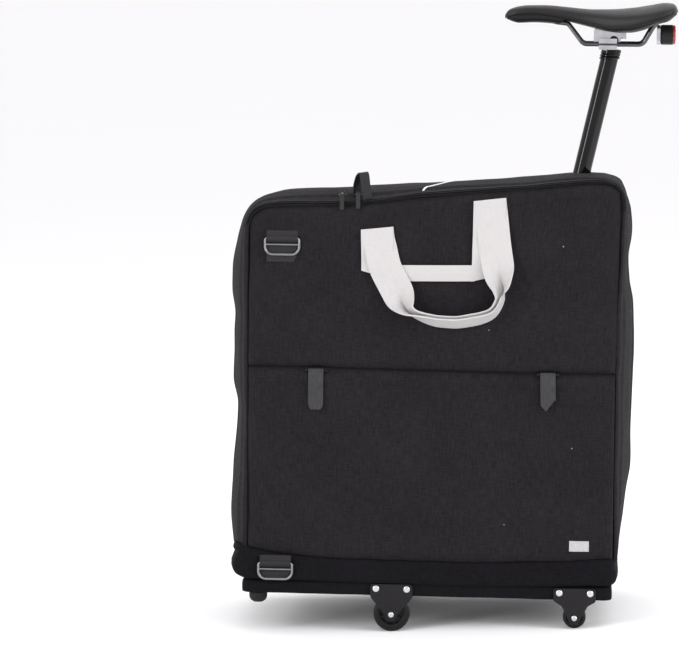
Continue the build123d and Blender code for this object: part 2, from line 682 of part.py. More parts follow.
def rail_sockets():
    """The room that the rails take out of the shell and padding."""
    made = []
    for side in (-1, 1):
        made.append(on_saddle(bent_rod(saddle_rail_points(side), RAIL_DIA / 2 + POST_FIT, RAIL_BENDS)))
    return made


SADDLE_STATIONS = ((-168, 9, 51), (-150, 18, 58), (-120, 21, 60), (-75, 24, 57), (-30, 34, 53), (10, 52, 51),
                   (50, 68, 52), (75, SADDLE_HALF_WIDTH, 57), (SADDLE_TAIL, 50, 60))
PAD_THICK = 18.0
SHELL_DROP = 7.0


def saddle_loft(grow, drop, thick):
    """Rounded cross sections from nose to tail."""
    sections = []
    for x, half, top in SADDLE_STATIONS:
        spot = Plane(origin=(x, 0, top - drop - thick / 2), x_dir=(0, 1, 0), z_dir=(1, 0, 0))
        sections.append(spot * Ellipse(half + grow, thick / 2))
    return loft(sections)


def saddle_cover():
    """Padded top of the saddle, crowned across and dished along its length."""
    body = on_saddle(saddle_loft(0, 0, PAD_THICK))
    for socket in rail_sockets():
        body = body - socket
    return body


def saddle_shell():
    """Hard base under the padding."""
    padding = saddle_loft(SEAM_GAP, -SEAM_GAP, PAD_THICK + 2 * SEAM_GAP)
    body = on_saddle(saddle_loft(-4, SHELL_DROP, PAD_THICK) - padding)
    for socket in rail_sockets():
        body = body - socket
    return body


def lamp_bracket():
    """Steel plate between the rear of the rails and the lamp."""
    plate = brick((LAMP_X - 5.5, -13, 0), (LAMP_X - 0.5, 13, 29.9))
    return on_saddle(fillet(plate.edges().filter_by(Axis.X), 6))


def lamp_case():
    spot = Plane(origin=(LAMP_X, 0, LAMP_Z), x_dir=(0, 1, 0), z_dir=(1, 0, 0))
    case = spot * Cylinder(LAMP_DIA / 2, LAMP_CASE, align=STANDING)
    return on_saddle(fillet(case.edges().filter_by(GeomType.CIRCLE).sort_by(Axis.X)[0], 3))


def lamp_lens():
    spot = Plane(origin=(LAMP_X + LAMP_CASE + SEAM_GAP, 0, LAMP_Z), x_dir=(0, 1, 0), z_dir=(1, 0, 0))
    lens = spot * Cylinder(LAMP_DIA / 2 - 0.6, 4, align=STANDING)
    return on_saddle(fillet(lens.edges().filter_by(GeomType.CIRCLE).sort_by(Axis.X)[-1], 1.6))


# ---------------------------------------------------------------- the folded bicycle
def rear_frame():
    """Seat tube, crank shell, rear half of the main tube, pivot ears and the rear knuckles of the hinge."""
    x, z = CRANK_AXIS
    seat_axis = on_post_at_height
    seat = rod(seat_axis(SEAT_TUBE_BOTTOM_Z), seat_axis(SEAT_TUBE_TOP_Z), SEAT_TUBE_DIA / 2)
    start = seat_axis(MAIN_TUBE_Z - 12)
    main = rod(start, (HINGE_X + 5, FRAME_Y, MAIN_TUBE_Z), MAIN_TUBE_DIA / 2)
    shell = disc(x, z, FRAME_Y - 34, FRAME_Y + 34, 20)
    web = brick((x, FRAME_Y - 8, z - 12), (seat_axis(z).X, FRAME_Y + 8, z + 40))
    ears = [slab([(x + 12, z - 10), (x - 14, z - 4), (PIVOT[0] - 13, PIVOT[1]), (PIVOT[0], PIVOT[1] - 13),
                  (PIVOT[0] + 14, PIVOT[1])], low, low + 7) for low in (FRAME_Y - 20, FRAME_Y + 13)]
    low_z, high_z = MAIN_TUBE_Z - 28, MAIN_TUBE_Z + 28
    plate = brick((HINGE_X, FRAME_Y - 23, low_z), (HINGE_X + 6, HINGE_Y - 10, high_z))
    knuckles = []
    for low, high in ((low_z, MAIN_TUBE_Z - 11), (MAIN_TUBE_Z + 11, high_z)):
        knuckles.append(rod((HINGE_X, HINGE_Y, low), (HINGE_X, HINGE_Y, high), 9))
        knuckles.append(brick((HINGE_X, HINGE_Y - 12, low), (HINGE_X + 6, HINGE_Y, high)))
    body = fuse([seat, main, shell, web, plate] + ears)
    body = body - rod((HINGE_X, HINGE_Y, MAIN_TUBE_Z - 11), (HINGE_X, HINGE_Y, MAIN_TUBE_Z + 11), 10)
    body = fuse([body] + knuckles)
    bore_low, bore_high = seat_axis(SEAT_TUBE_BOTTOM_Z - 40), seat_axis(SEAT_TUBE_TOP_Z + 40)
    body = body - rod(bore_low, bore_high, POST_DIA / 2 + POST_FIT)
    body = body - disc(x, z, FRAME_Y - 40, FRAME_Y + 40, 9.3)
    body = body - disc(PIVOT[0], PIVOT[1], FRAME_Y - 30, FRAME_Y + 30, 6.05)
    return body - rod((HINGE_X, HINGE_Y, low_z - 1), (HINGE_X, HINGE_Y, high_z + 1), 4.05)


def seat_clamp():
    """Split band round the top of the seat tube."""
    low, high = on_post_at_height(SEAT_TUBE_TOP_Z - 24), on_post_at_height(SEAT_TUBE_TOP_Z - 6)
    band = tube(low, high, SEAT_TUBE_DIA / 2 + 4.3, SEAT_TUBE_DIA / 2 + SEAM_GAP)
    middle = on_post_at_height(SEAT_TUBE_TOP_Z - 15)
    lugs = []
    for y in (FRAME_Y - 7, FRAME_Y + 2):
        lugs.append(brick((middle.X + 20, y, middle.Z - 8), (middle.X + 37, y + 5, middle.Z + 8)))
    centre = lever_axis()
    hole = rod(centre - Vector(0, 20, 0), centre + Vector(0, 20, 0), 3.05)
    return fuse([band] + lugs) - hole


def lever_axis():
    return on_post_at_height(SEAT_TUBE_TOP_Z - 15) + Vector(31, 0, 0)


def seat_clamp_lever():
    """Quick-release lever on its cross bolt."""
    centre = lever_axis()
    bolt = rod(centre - Vector(0, 14, 0), centre + Vector(0, 12, 0), 3.0)
    cam = rod(centre - Vector(0, 16, 0), centre - Vector(0, 7.5, 0), 7.0)
    arm = brick((centre.X - 5, centre.Y - 15, centre.Z - 46), (centre.X + 5, centre.Y - 10, centre.Z))
    return bolt + cam + arm


def hinge_pin():
    """Pin of the main hinge with a head at each end."""
    low, high = MAIN_TUBE_Z - 28 - SEAM_GAP, MAIN_TUBE_Z + 28 + SEAM_GAP
    at = (HINGE_X, HINGE_Y)
    return fuse([rod((*at, low - 3), (*at, high + 3), 4.0), rod((*at, low - 4), (*at, low), 6.5),
                 rod((*at, high), (*at, high + 4), 6.5)])


HEAD_LOW = Vector(CROWN[0], FRONT_WHEEL_Y, CROWN[1])
HEAD_DIR = Vector(-sin(radians(POST_LEAN)), 0, cos(radians(POST_LEAN)))


def front_frame():
    """Front half of the main tube, folded back beside the rear half, with the head tube."""
    y = 2 * HINGE_Y - FRAME_Y
    tube_run = rod((HINGE_X + 5, y, MAIN_TUBE_Z), HEAD_LOW + HEAD_DIR * 45, MAIN_TUBE_DIA / 2)
    head = rod(HEAD_LOW + HEAD_DIR * 6, HEAD_LOW + HEAD_DIR * HEAD_TUBE_LENGTH, HEAD_TUBE_DIA / 2)
    plate = brick((HINGE_X, HINGE_Y + 10, MAIN_TUBE_Z - 28), (HINGE_X + 6, y + 23, MAIN_TUBE_Z + 28))
    knuckle = rod((HINGE_X, HINGE_Y, MAIN_TUBE_Z - 10), (HINGE_X, HINGE_Y, MAIN_TUBE_Z + 10), 9)
    arm = brick((HINGE_X, HINGE_Y, MAIN_TUBE_Z - 10), (HINGE_X + 6, HINGE_Y + 12, MAIN_TUBE_Z + 10))
    body = fuse([tube_run, head, plate])
    for low, high in ((-29, -10), (10, 29)):
        body = body - rod((HINGE_X, HINGE_Y, MAIN_TUBE_Z + low), (HINGE_X, HINGE_Y, MAIN_TUBE_Z + high), 10)
    body = fuse([body, knuckle, arm])
    body = body - rod(HEAD_LOW - HEAD_DIR * 5, HEAD_LOW + HEAD_DIR * 120, STEERER_DIA / 2 + 0.05)
    return body - rod((HINGE_X, HINGE_Y, 400), (HINGE_X, HINGE_Y, 600), 4.05)


def wheel(axle, y, hub_half, flange_half):
    """Rim, crossed spokes and hub as one laced wheel, bored for its axle."""
    x, z = axle
    rim = disc(x, z, y - RIM_WIDTH / 2, y + RIM_WIDTH / 2, RIM_OUTER, RIM_INNER)
    hub = disc(x, z, y - hub_half, y + hub_half, 12)
    pieces = [rim, hub]
    for side in (-1, 1):
        pieces.append(disc(x, z, y + side * flange_half - 2, y + side * flange_half + 2, 24))
    for turn in range(SPOKES):
        side = -1 if turn % 2 else 1
        angle = 2 * pi * turn / SPOKES
        lean = angle + (0.9 if turn % 4 < 2 else -0.9)
        start = (x + 22 * cos(lean), y + side * flange_half, z + 22 * sin(lean))
        end = (x + (RIM_INNER + 3) * cos(angle), y, z + (RIM_INNER + 3) * sin(angle))
        pieces.append(rod(start, end, 1.0))
    return fuse(pieces) - disc(x, z, y - hub_half - 1, y + hub_half + 1, WHEEL_AXLE_DIA / 2 + 0.05)


def tyre(axle, y):
    """Round-section tyre seated on its rim."""
    x, z = axle
    ring = Plane(origin=(x, y, z), z_dir=(0, 1, 0)) * Torus(TYRE_RADIUS - TYRE_WIDTH / 2, TYRE_WIDTH / 2)
    return ring - disc(x, z, y - 30, y + 30, RIM_OUTER + 0.05)


def rear_triangle():
    """Swinging rear end: pivot barrel, yoke, two stays and dropouts, folded forward under the frame."""
    x, z = REAR_AXLE
    yoke = Vector(PIVOT[0] - 24, FRAME_Y, PIVOT[1] - 16)
    pieces = [disc(PIVOT[0], PIVOT[1], FRAME_Y - 12.5, FRAME_Y + 12.5, 12)]
    pieces.append(slab([(PIVOT[0] - 6, PIVOT[1] + 9), (PIVOT[0] + 4, PIVOT[1] - 11), (yoke.X, yoke.Z - 6),
                        (yoke.X - 6, yoke.Z + 6)], FRAME_Y - 10, FRAME_Y + 10))
    pieces.append(rod(yoke - Vector(0, 32, 0), yoke + Vector(0, 30, 0), 8))
    for side in (-1, 1):
        start = yoke + Vector(0, side * 30, 0)
        end = Vector(x, FRAME_Y + side * REAR_DROPOUT_HALF, z)
        pieces.append(rod(start, end - (end - start).normalized() * DROPOUT_REACH, 6))
        low = FRAME_Y + side * REAR_DROPOUT_HALF - 3
        pieces.append(disc(x, z, low, low + 6, DROPOUT_REACH + 3))
    body = fuse(pieces)
    body = body - disc(PIVOT[0], PIVOT[1], FRAME_Y - 40, FRAME_Y + 40, 6.05)
    return body - disc(x, z, FRAME_Y - 80, FRAME_Y + 80, WHEEL_AXLE_DIA / 2 + 0.05)


def pivot_pin():
    pin = disc(PIVOT[0], PIVOT[1], FRAME_Y - 22, FRAME_Y + 22, 6.0)
    heads = [disc(PIVOT[0], PIVOT[1], FRAME_Y + near, FRAME_Y + near + 3, 9) for near in (-23.3, 20.3)]
    return fuse([pin] + heads)


def wheel_axle(axle, y, dropout_half):
    """Through axle with a nut outside each dropout."""
    x, z = axle
    nuts = [disc(x, z, y + side * (dropout_half + 6) - 2.7, y + side * (dropout_half + 6) + 2.7, 9)
            for side in (-1, 1)]
    return fuse([disc(x, z, y - dropout_half - 8, y + dropout_half + 8, WHEEL_AXLE_DIA / 2)] + nuts)


def sprocket():
    x, z = REAR_AXLE
    return disc(x, z, CHAINRING_Y - 1.5, CHAINRING_Y + 1.5, SPROCKET_RADIUS, 12.3)


def belt(radius_front, radius_rear, y_low, y_high):
    """The outline of a loop pulled tight round the chainring and the sprocket."""
    (x1, z1), (x2, z2) = CRANK_AXIS, REAR_AXLE
    span = hypot(x2 - x1, z2 - z1)
    heading = atan2(z2 - z1, x2 - x1)
    lean = acos((radius_front - radius_rear) / span)
    corners = []
    for x, z, radius, turn in ((x1, z1, radius_front, 1), (x2, z2, radius_rear, 1), (x2, z2, radius_rear, -1),
                               (x1, z1, radius_front, -1)):
        angle = heading + turn * lean
        corners.append((x + radius * cos(angle), z + radius * sin(angle)))
    return slab(corners, y_low, y_high) + disc(x1, z1, y_low, y_high, radius_front) + \
        disc(x2, z2, y_low, y_high, radius_rear)


def chain():
    """Chain loop, as one band without its separate links."""
    low, high = CHAINRING_Y - CHAIN_THICK / 2, CHAINRING_Y + CHAIN_THICK / 2
    loop = belt(CHAINRING_RADIUS + 8, SPROCKET_RADIUS + 8, low, high)
    return loop - belt(CHAINRING_RADIUS + RUN_GAP, SPROCKET_RADIUS + RUN_GAP, low - 1, high + 1)


def crank_end(heading):
    x, z = CRANK_AXIS
    return (x + CRANK_LENGTH * cos(radians(heading)), z + CRANK_LENGTH * sin(radians(heading)))


def crank_arm(heading, y):
    """Forged arm from the spindle to the pedal eye."""
    x, z = CRANK_AXIS
    end = crank_end(heading)
    across_x, across_z = -sin(radians(heading)), cos(radians(heading))
    upper = [(x + 11 * across_x, z + 11 * across_z), (end[0] + 9 * across_x, end[1] + 9 * across_z)]
    lower = [(end[0] - 9 * across_x, end[1] - 9 * across_z), (x - 11 * across_x, z - 11 * across_z)]
    bar = slab(upper + lower, y - 6, y + 6)
    arm = bar + disc(x, z, y - 6, y + 6, 15) + disc(*end, y - 6, y + 6, 12)
    return arm - disc(*end, y - 8, y + 8, 5.05)


def cranks():
    """Both arms on their spindle."""
    x, z = CRANK_AXIS
    spindle = disc(x, z, LEFT_CRANK_Y - 4, RIGHT_CRANK_Y + 4, 9.25)
    right_arm = crank_arm(CRANK_HEADING, RIGHT_CRANK_Y)
    left_arm = crank_arm(CRANK_HEADING + 180, LEFT_CRANK_Y)
    return fuse([spindle, right_arm, left_arm])


def chainring():
    x, z = CRANK_AXIS
    return disc(x, z, CHAINRING_Y - 1.5, CHAINRING_Y + 1.5, CHAINRING_RADIUS, 9.27 + SEAM_GAP)


def right_pedal():
    """Platform pedal on its spindle."""
    x, z = crank_end(CRANK_HEADING)
    near = RIGHT_CRANK_Y + 6
    body = Pos(x, near + 4 + PEDAL_WIDTH / 2, z) * Box(PEDAL_LENGTH, PEDAL_WIDTH, PEDAL_THICK)
    return fillet(body.edges().filter_by(Axis.Y), 6) + disc(x, z, RIGHT_CRANK_Y - 5, near + 6, 5.0)


def left_pedal():
    """Folding pedal, turned flat against the left crank."""
    x, z = crank_end(CRANK_HEADING + 180)
    near = LEFT_CRANK_Y - 6
    body = Pos(x, near - 2 - PEDAL_THICK / 2, z) * Box(PEDAL_LENGTH, PEDAL_THICK - 4, PEDAL_WIDTH)
    return fillet(body.edges().filter_by(Axis.Y), 6) + disc(x, z, near - 6, LEFT_CRANK_Y + 5, 5.0)


def fork():
    """Steerer, crown and two blades down to the dropouts."""
    x, z = FRONT_AXLE
    steerer = rod(HEAD_LOW - HEAD_DIR * 4, HEAD_LOW + HEAD_DIR * (HEAD_TUBE_LENGTH + 18), STEERER_DIA / 2)
    crown_y = FRONT_DROPOUT_HALF + 7
    crown = Pos(*(HEAD_LOW - HEAD_DIR * 4)) * Rot(Y=-POST_LEAN) * Box(30, 2 * crown_y, 16)
    pieces = [steerer, crown]
    for side in (-1, 1):
        foot = Vector(x, FRONT_WHEEL_Y + side * FRONT_DROPOUT_HALF, z)
        top = HEAD_LOW + Vector(0, side * FRONT_DROPOUT_HALF, 0) - HEAD_DIR * 4
        pieces.append(rod(top, foot - (foot - top).normalized() * DROPOUT_REACH, 7))
        low = foot.Y - 3
        pieces.append(disc(x, z, low, low + 6, DROPOUT_REACH + 3))
    return fuse(pieces) - disc(x, z, FRONT_WHEEL_Y - 60, FRONT_WHEEL_Y + 60, WHEEL_AXLE_DIA / 2 + 0.05)


STEM_TOP = HEAD_LOW + HEAD_DIR * (HEAD_TUBE_LENGTH + 12)


def handlepost():
    """Stem block on the steerer and the post folded down beside the front wheel."""
    block = rod(STEM_TOP - HEAD_DIR * 9, STEM_TOP + HEAD_DIR * 14, 19)
    elbow = rod(STEM_TOP, (STEM_TOP.X, STEM_Y, STEM_TOP.Z), 12)
    post = rod((STEM_TOP.X, STEM_Y, STEM_TOP.Z + 12), (STEM_TOP.X, STEM_Y, BAR_Z - 18), 12)
    bore = rod(HEAD_LOW, STEM_TOP + HEAD_DIR * 8, STEERER_DIA / 2 + 0.05)
    bar_hole = rod((STEM_TOP.X - 40, STEM_Y, BAR_Z), (STEM_TOP.X + 40, STEM_Y, BAR_Z), BAR_DIA / 2 + 0.05)
    collar = rod((STEM_TOP.X - 18, STEM_Y, BAR_Z), (STEM_TOP.X + 18, STEM_Y, BAR_Z), BAR_DIA / 2 + 3)
    return fuse([block, elbow, post, collar]) - bore - bar_hole


def handlebar():
    centre = Vector(STEM_TOP.X, STEM_Y, BAR_Z)
    half = Vector(BAR_LENGTH / 2, 0, 0)
    return tube(centre - half, centre + half, BAR_DIA / 2, BAR_DIA / 2 - 1.8)


def grips():
    """Rubber grips on both ends of the bar."""
    made = []
    for side in (-1, 1):
        end = Vector(STEM_TOP.X + side * BAR_LENGTH / 2, STEM_Y, BAR_Z)
        made.append(tube(end - Vector(side * GRIP_LENGTH, 0, 0), end, GRIP_DIA / 2, BAR_DIA / 2 + 0.05))
    return made


# ---------------------------------------------------------------- all pieces
def castor_wheel(kind, side):
    return [castor_hub(kind, side), castor_tyre(kind, side)]


def make_parts():
    """Every node's solids, in bag axes."""
    kinds = [(kind, side) for kind in CASTORS for side in (-1, 1)]
    parts = {
        "base_board": base_board(),
        "bottom_band": bottom_band(),
        "front_lower_panel": lower_panel(FRONT),
        "front_upper_panel": upper_panel(FRONT),
        "back_lower_panel": lower_panel(BACK - PANEL_THICK),
        "back_upper_panel": upper_panel(BACK - PANEL_THICK),
        "nose_end_gusset": side_gusset(-1),
        "tail_end_gusset": side_gusset(1),
        "top_gusset": top_gusset(),
        "post_collar": post_collar(),
        "zip_chain": zip_chain(),
        "zip_garage_loop": zip_garage_loop(),
        "reflective_piping": reflective_piping(),
        "front_handle_anchor": handle_anchor(-1),
        "front_handle": handle_loop(-1),
        "back_handle_anchor": handle_anchor(1),
        "back_handle": handle_loop(1),
        "strap_keepers": [strap_keeper(x) for x in STRAP_SPOTS],
        "left_strap_tail": strap_tail(STRAP_SPOTS[0], STRAP_LENGTHS[0], False),
        "right_strap_tail": strap_tail(STRAP_SPOTS[1], STRAP_LENGTHS[1], True),
        "name_patch": name_patch(),
        "castor_brackets": [castor_bracket(*kind) for kind in kinds],
        "castor_bolts": castor_screws() + [castor_axle(*kind) for kind in kinds],
        "rubber_feet": feet(),
        "seat_post": [seat_post()] + post_rings(),
        "saddle_clamp": [saddle_clamp()] + clamp_bolt(),
        "saddle_rails": saddle_rails(),
        "saddle_shell": saddle_shell(),
        "saddle_cover": saddle_cover(),
        "lamp_bracket": lamp_bracket(),
        "lamp_case": lamp_case(),
        "lamp_lens": lamp_lens(),
        "rear_frame": rear_frame(),
        "seat_clamp_band": seat_clamp(),
        "seat_clamp_lever": seat_clamp_lever(),
        "front_frame": front_frame(),
        "frame_pins": [hinge_pin(), pivot_pin()],
        "rear_triangle": [rear_triangle(), wheel_axle(REAR_AXLE, FRAME_Y, REAR_DROPOUT_HALF)],
        "rear_wheel": [wheel(REAR_AXLE, FRAME_Y, 44, 30), tyre(REAR_AXLE, FRAME_Y)],
        "fork": [fork(), wheel_axle(FRONT_AXLE, FRONT_WHEEL_Y, FRONT_DROPOUT_HALF)],
        "front_wheel": [wheel(FRONT_AXLE, FRONT_WHEEL_Y, 28, 22), tyre(FRONT_AXLE, FRONT_WHEEL_Y)],
        "sprocket": sprocket(),
        "chain": chain(),
        "crankset": [cranks(), chainring()],
        "right_pedal": right_pedal(),
        "left_pedal": left_pedal(),
        "handlepost": handlepost(),
        "handlebar": [handlebar()] + grips(),
    }
    for name, x in zip(("left", "right"), SLIDER_SPOTS):
        parts[name + "_zip_slider"] = zip_slider(x)
        parts[name + "_zip_pull"] = zip_pull(x)
    for name, spot in zip(("upper", "lower"), RING_SPOTS):
        parts[name + "_strap_ring"] = strap_ring(spot)
        parts[name + "_ring_tab"] = ring_tab(spot)
    for kind, side in kinds:
        parts[f"{'front' if side < 0 else 'back'}_{kind}_castor"] = castor_wheel(kind, side)
    for name, made in parts.items():
        if isinstance(made, list):
            parts[name] = Compound(children=[*made])
    return parts


def lean_of_bag():
    """The angle at which the large and the small castors all touch the floor."""
    run, rise = END_WHEEL_X - CENTRE_WHEEL_X, CENTRE_AXLE_DROP - END_AXLE_DROP
    return degrees(asin(((CENTRE_WHEEL_DIA - END_WHEEL_DIA) / 2) / hypot(run, rise)) + atan2(rise, run))


def standing(parts):
    """Where the bag axes stand on the floor: leaned on the castors, the whole box centred over the origin."""
    lean = Rot(Y=lean_of_bag())
    boxes = [(lean * shape).bounding_box() for shape in parts.values()]
    low = [min(getattr(box.min, axis) for box in boxes) for axis in "XYZ"]
    high = [max(getattr(box.max, axis) for box in boxes) for axis in "XYZ"]
    return Pos(-(low[0] + high[0]) / 2, -(low[1] + high[1]) / 2, -low[2]) * lean


def main():
    os.makedirs("parts", exist_ok=True)
    parts = make_parts()
    place = standing(parts)
    for name, shape in parts.items():
        export_step(place * shape, f"parts/{name}.step")


if __name__ == "__main__":
    main()
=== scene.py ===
"""Studio scene of a folding bicycle in its wheeled travel bag, with the saddle above the top."""
import json
from math import cos, exp, hypot, pi, radians, sin

import bpy
from mathutils import Matrix, Vector, noise


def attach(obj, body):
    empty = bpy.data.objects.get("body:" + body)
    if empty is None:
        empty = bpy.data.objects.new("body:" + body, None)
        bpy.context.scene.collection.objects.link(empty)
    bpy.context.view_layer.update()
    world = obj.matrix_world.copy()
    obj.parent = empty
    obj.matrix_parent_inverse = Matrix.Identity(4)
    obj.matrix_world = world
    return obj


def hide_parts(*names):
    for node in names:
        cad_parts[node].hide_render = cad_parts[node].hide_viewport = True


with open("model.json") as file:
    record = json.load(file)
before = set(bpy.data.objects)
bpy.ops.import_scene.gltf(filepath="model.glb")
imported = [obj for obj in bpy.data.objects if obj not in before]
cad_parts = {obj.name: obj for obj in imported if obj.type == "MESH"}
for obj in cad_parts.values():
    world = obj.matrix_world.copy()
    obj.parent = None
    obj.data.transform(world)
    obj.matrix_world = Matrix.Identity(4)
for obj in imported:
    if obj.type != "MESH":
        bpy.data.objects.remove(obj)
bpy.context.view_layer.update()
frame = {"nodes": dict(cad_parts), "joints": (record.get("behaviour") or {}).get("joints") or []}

bl_info = {
    "name": "Bagged folding bicycle",
    "version": (1, 0),
    "blender": (4, 5, 0),
    "location": "3D View > Sidebar > Bag",
    "description": "Models a wheeled travel bag with its handles, castors and the saddle above it",
    "category": "Add Mesh",
}

# ---------------------------------------------------------------- the bag's own axes, in millimetres
FRONT, BACK, MID_SEAM = -150.0, 150.0, 361.0
FLAP = next(joint for joint in frame["joints"] if joint["name"] == "front_flap_open")
ALONG = Vector(FLAP["axis"]).normalized()
DEEP = Vector((0, 1, 0))
UPWARD = ALONG.cross(DEEP)
BAG_ORIGIN = Vector(FLAP["pos_m"]) - (DEEP * FRONT + UPWARD * MID_SEAM) / 1000
RAIL_CENTRE = Vector((275.7, -35.0, 861.0))
WEBBING = 50.0                         # width of the carrying webbing
DEEPEST = 29.4                         # how far a handle may stand off the bag
POST_DIR = Vector((sin(radians(12.5)), 0, cos(radians(12.5))))


def place(x, y, z):
    """Bag axes to the frame: X along the bag, Y through its depth, Z up from the board's underside."""
    return BAG_ORIGIN + (ALONG * x + DEEP * y + UPWARD * z) / 1000


def curve(points):
    """A smooth line through (position, value) pairs that never overshoots them."""
    at = [p[0] for p in points]
    value = [p[1] for p in points]
    rise = [(value[i + 1] - value[i]) / (at[i + 1] - at[i]) for i in range(len(at) - 1)]
    slope = [rise[0]]
    for a, b in zip(rise, rise[1:]):
        slope.append(0.0 if a * b <= 0 else 2 * a * b / (a + b))
    slope.append(rise[-1])

    def read(x):
        if x <= at[0]:
            return value[0]
        if x >= at[-1]:
            return value[-1]
        i = next(k for k in range(len(at) - 1) if x <= at[k + 1])
        h = at[i + 1] - at[i]
        t = (x - at[i]) / h
        return ((1 + 2 * t) * (1 - t) ** 2 * value[i] + t * (1 - t) ** 2 * h * slope[i]
                + t * t * (3 - 2 * t) * value[i + 1] + t * t * (t - 1) * h * slope[i + 1])
    return read


def track(points):
    """A smooth path through points of any number of values, read from 0 to 1 by its length."""
    run = [0.0]
    for a, b in zip(points, points[1:]):
        run.append(run[-1] + hypot(*[q - p for p, q in zip(a[:2], b[:2])]))
    reads = [curve([(r / run[-1], p[k]) for r, p in zip(run, points)]) for k in range(len(points[0]))]
    return lambda t: [read(t) for read in reads]


def ripple(x, z, seed, size):
    return noise.noise(Vector((x / size, z / size, seed * 3.7)))


def ridge(distance, width):
    return exp(-(distance / width) ** 2)


# outline of the panels: (x, z, bulge of the end wall)
RIM = [(-281.2, 64, 31), (-281, 110, 35), (-281, 200, 30), (-281, 286, 25), (-281.2, 326, 31),
       (-281.5, 397, 30),
       (-281.7, 428, 28.5), (-281.9, 468, 33), (-281.9, 504, 32), (-281.9, 546, 24), (-281, 575, 18),
       (-277, 590, 15),
       (-268, 600.5, 14), (-254, 606, 15), (-235, 608, 18), (-208, 608.8, 20), (-143, 610.5, 22),
       (-80, 617, 20),
       (-17, 625.5, 15), (112, 636.8, 12), (198, 645.7, 11.5), (245, 650.5, 9), (264, 651, 7),
       (279, 647.5, 5),
       (289, 638.5, 4), (293.5, 623, 5), (294.3, 604, 10), (293.2, 567, 14), (293, 530, 10.5),
       (291, 495, 14.6),
       (289, 459, 24), (288, 403, 27.5), (287.8, 353, 27), (288, 263, 26), (288.4, 205, 25), (289, 146, 17),
       (290.4, 62, 4)]
NOSE_END, TAIL_START = 10, 26          # places in RIM where the end walls meet the top gusset
rim = track(RIM)
RIM_RUN = [0.0]
for a, b in zip(RIM, RIM[1:]):
    RIM_RUN.append(RIM_RUN[-1] + hypot(b[0] - a[0], b[1] - a[1]))
NOSE_SHARE, TAIL_SHARE = RIM_RUN[NOSE_END] / RIM_RUN[-1], RIM_RUN[TAIL_START] / RIM_RUN[-1]
top_line = curve([(x + i * 1e-3, z) for i, (x, z, _) in enumerate(RIM[9:26])])
mid_line = curve([(-290, 359.3), (-184, 358.6), (2, 357), (172, 355.5), (292, 356)])
low_line = curve([(-290, 72), (-278, 70), (-235, 61.5), (-104, 55), (71, 54.5), (200, 59), (283, 66),
                  (294, 67)])
base_line = curve([(-300, 21), (-191, 19), (28, 15.5), (180, 18), (290, 22)])
CREASES = [(-205, 430, -105, 530, 17, -2.2), (-262, 470, -215, 400, 16, -1.6), (150, 430, 270, 470, 17, -1.6),
           (-40, 330, 60, 250, 30, -1.8), (-240, 300, -150, 120, 26, -1.5), (90, 300, 180, 150, 28, -1.6),
           (200, 120, 285, 190, 20, -1.4), (-60, 110, 60, 96, 18, -1.2), (175, 600, 275, 545, 20, -1.5)]


def crease_depth(x, z):
    total = 0.0
    for x0, z0, x1, z1, width, depth in CREASES:
        dx, dz = x1 - x0, z1 - z0
        t = min(1, max(0, ((x - x0) * dx + (z - z0) * dz) / (dx * dx + dz * dz)))
        total += 2.7 * depth * ridge(hypot(x - x0 - t * dx, z - z0 - t * dz),
                                     width) * sin(pi * (0.15 + 0.7 * t))
    return total


def bulge(x, z, side):
    """How far a panel's cloth stands out from the flat at a point; side is -1 in front and 1 behind."""
    wrinkle = bpy.context.scene.bag_sizes.wrinkle
    seed = 1 if side < 0 else 5
    out = 4.2 * ripple(x, z, seed, 150) + 2.0 * ripple(x * 1.5, z, seed + 1, 60) + 0.7 * ripple(x, z,
        seed + 2, 24)
    out += crease_depth(x if side < 0 else -x, z)
    out = out * wrinkle
    middle = z - mid_line(x)
    out += 2.0 * ridge(middle - 14, 11) + 1.8 * ridge(middle + 15, 11)
    out += 2.5 * ridge(z - low_line(x) - 20, 18)
    out += 0.8
    edge = min(x + 281.5, 291.5 - x, top_line(x) - z if z > 480 else 99)
    edge = min(edge, abs(middle), z - low_line(x) if z < 200 else 99)
    out += 1.2 * ridge(edge - 15, 8)
    return out - 8.5 * exp(-max(edge, 0) / 3.4)


def on_face(x, z, side, lift=0.0):
    """A point on the front (side -1) or back (side 1) cloth, lifted outwards."""
    return x, side * (BACK + bulge(x, z, side) + lift), z


def back_drop(x, z):
    """The back panel's top edge is lower than the front one's."""
    return 12.0 * max(0.0, min(1.0, (z - 430) / 180))


# ---------------------------------------------------------------- mesh helpers
def clear_choice():
    if bpy.context.object and bpy.context.object.mode != "OBJECT":
        bpy.ops.object.mode_set(mode="OBJECT")
    bpy.ops.object.select_all(action="DESELECT")


def pick(piece):
    clear_choice()
    piece.select_set(True)
    bpy.context.view_layer.objects.active = piece


def apply(piece, kind, **settings):
    pick(piece)
    modifier = piece.modifiers.new(kind.title(), kind)
    for name, value in settings.items():
        setattr(modifier, name, value)
    bpy.ops.object.modifier_apply(modifier=modifier.name)


def weld(piece, threshold=2e-5):
    pick(piece)
    bpy.ops.object.mode_set(mode="EDIT")
    bpy.ops.mesh.select_all(action="SELECT")
    bpy.ops.mesh.remove_doubles(threshold=threshold)
    bpy.ops.mesh.normals_make_consistent(inside=False)
    bpy.ops.object.mode_set(mode="OBJECT")


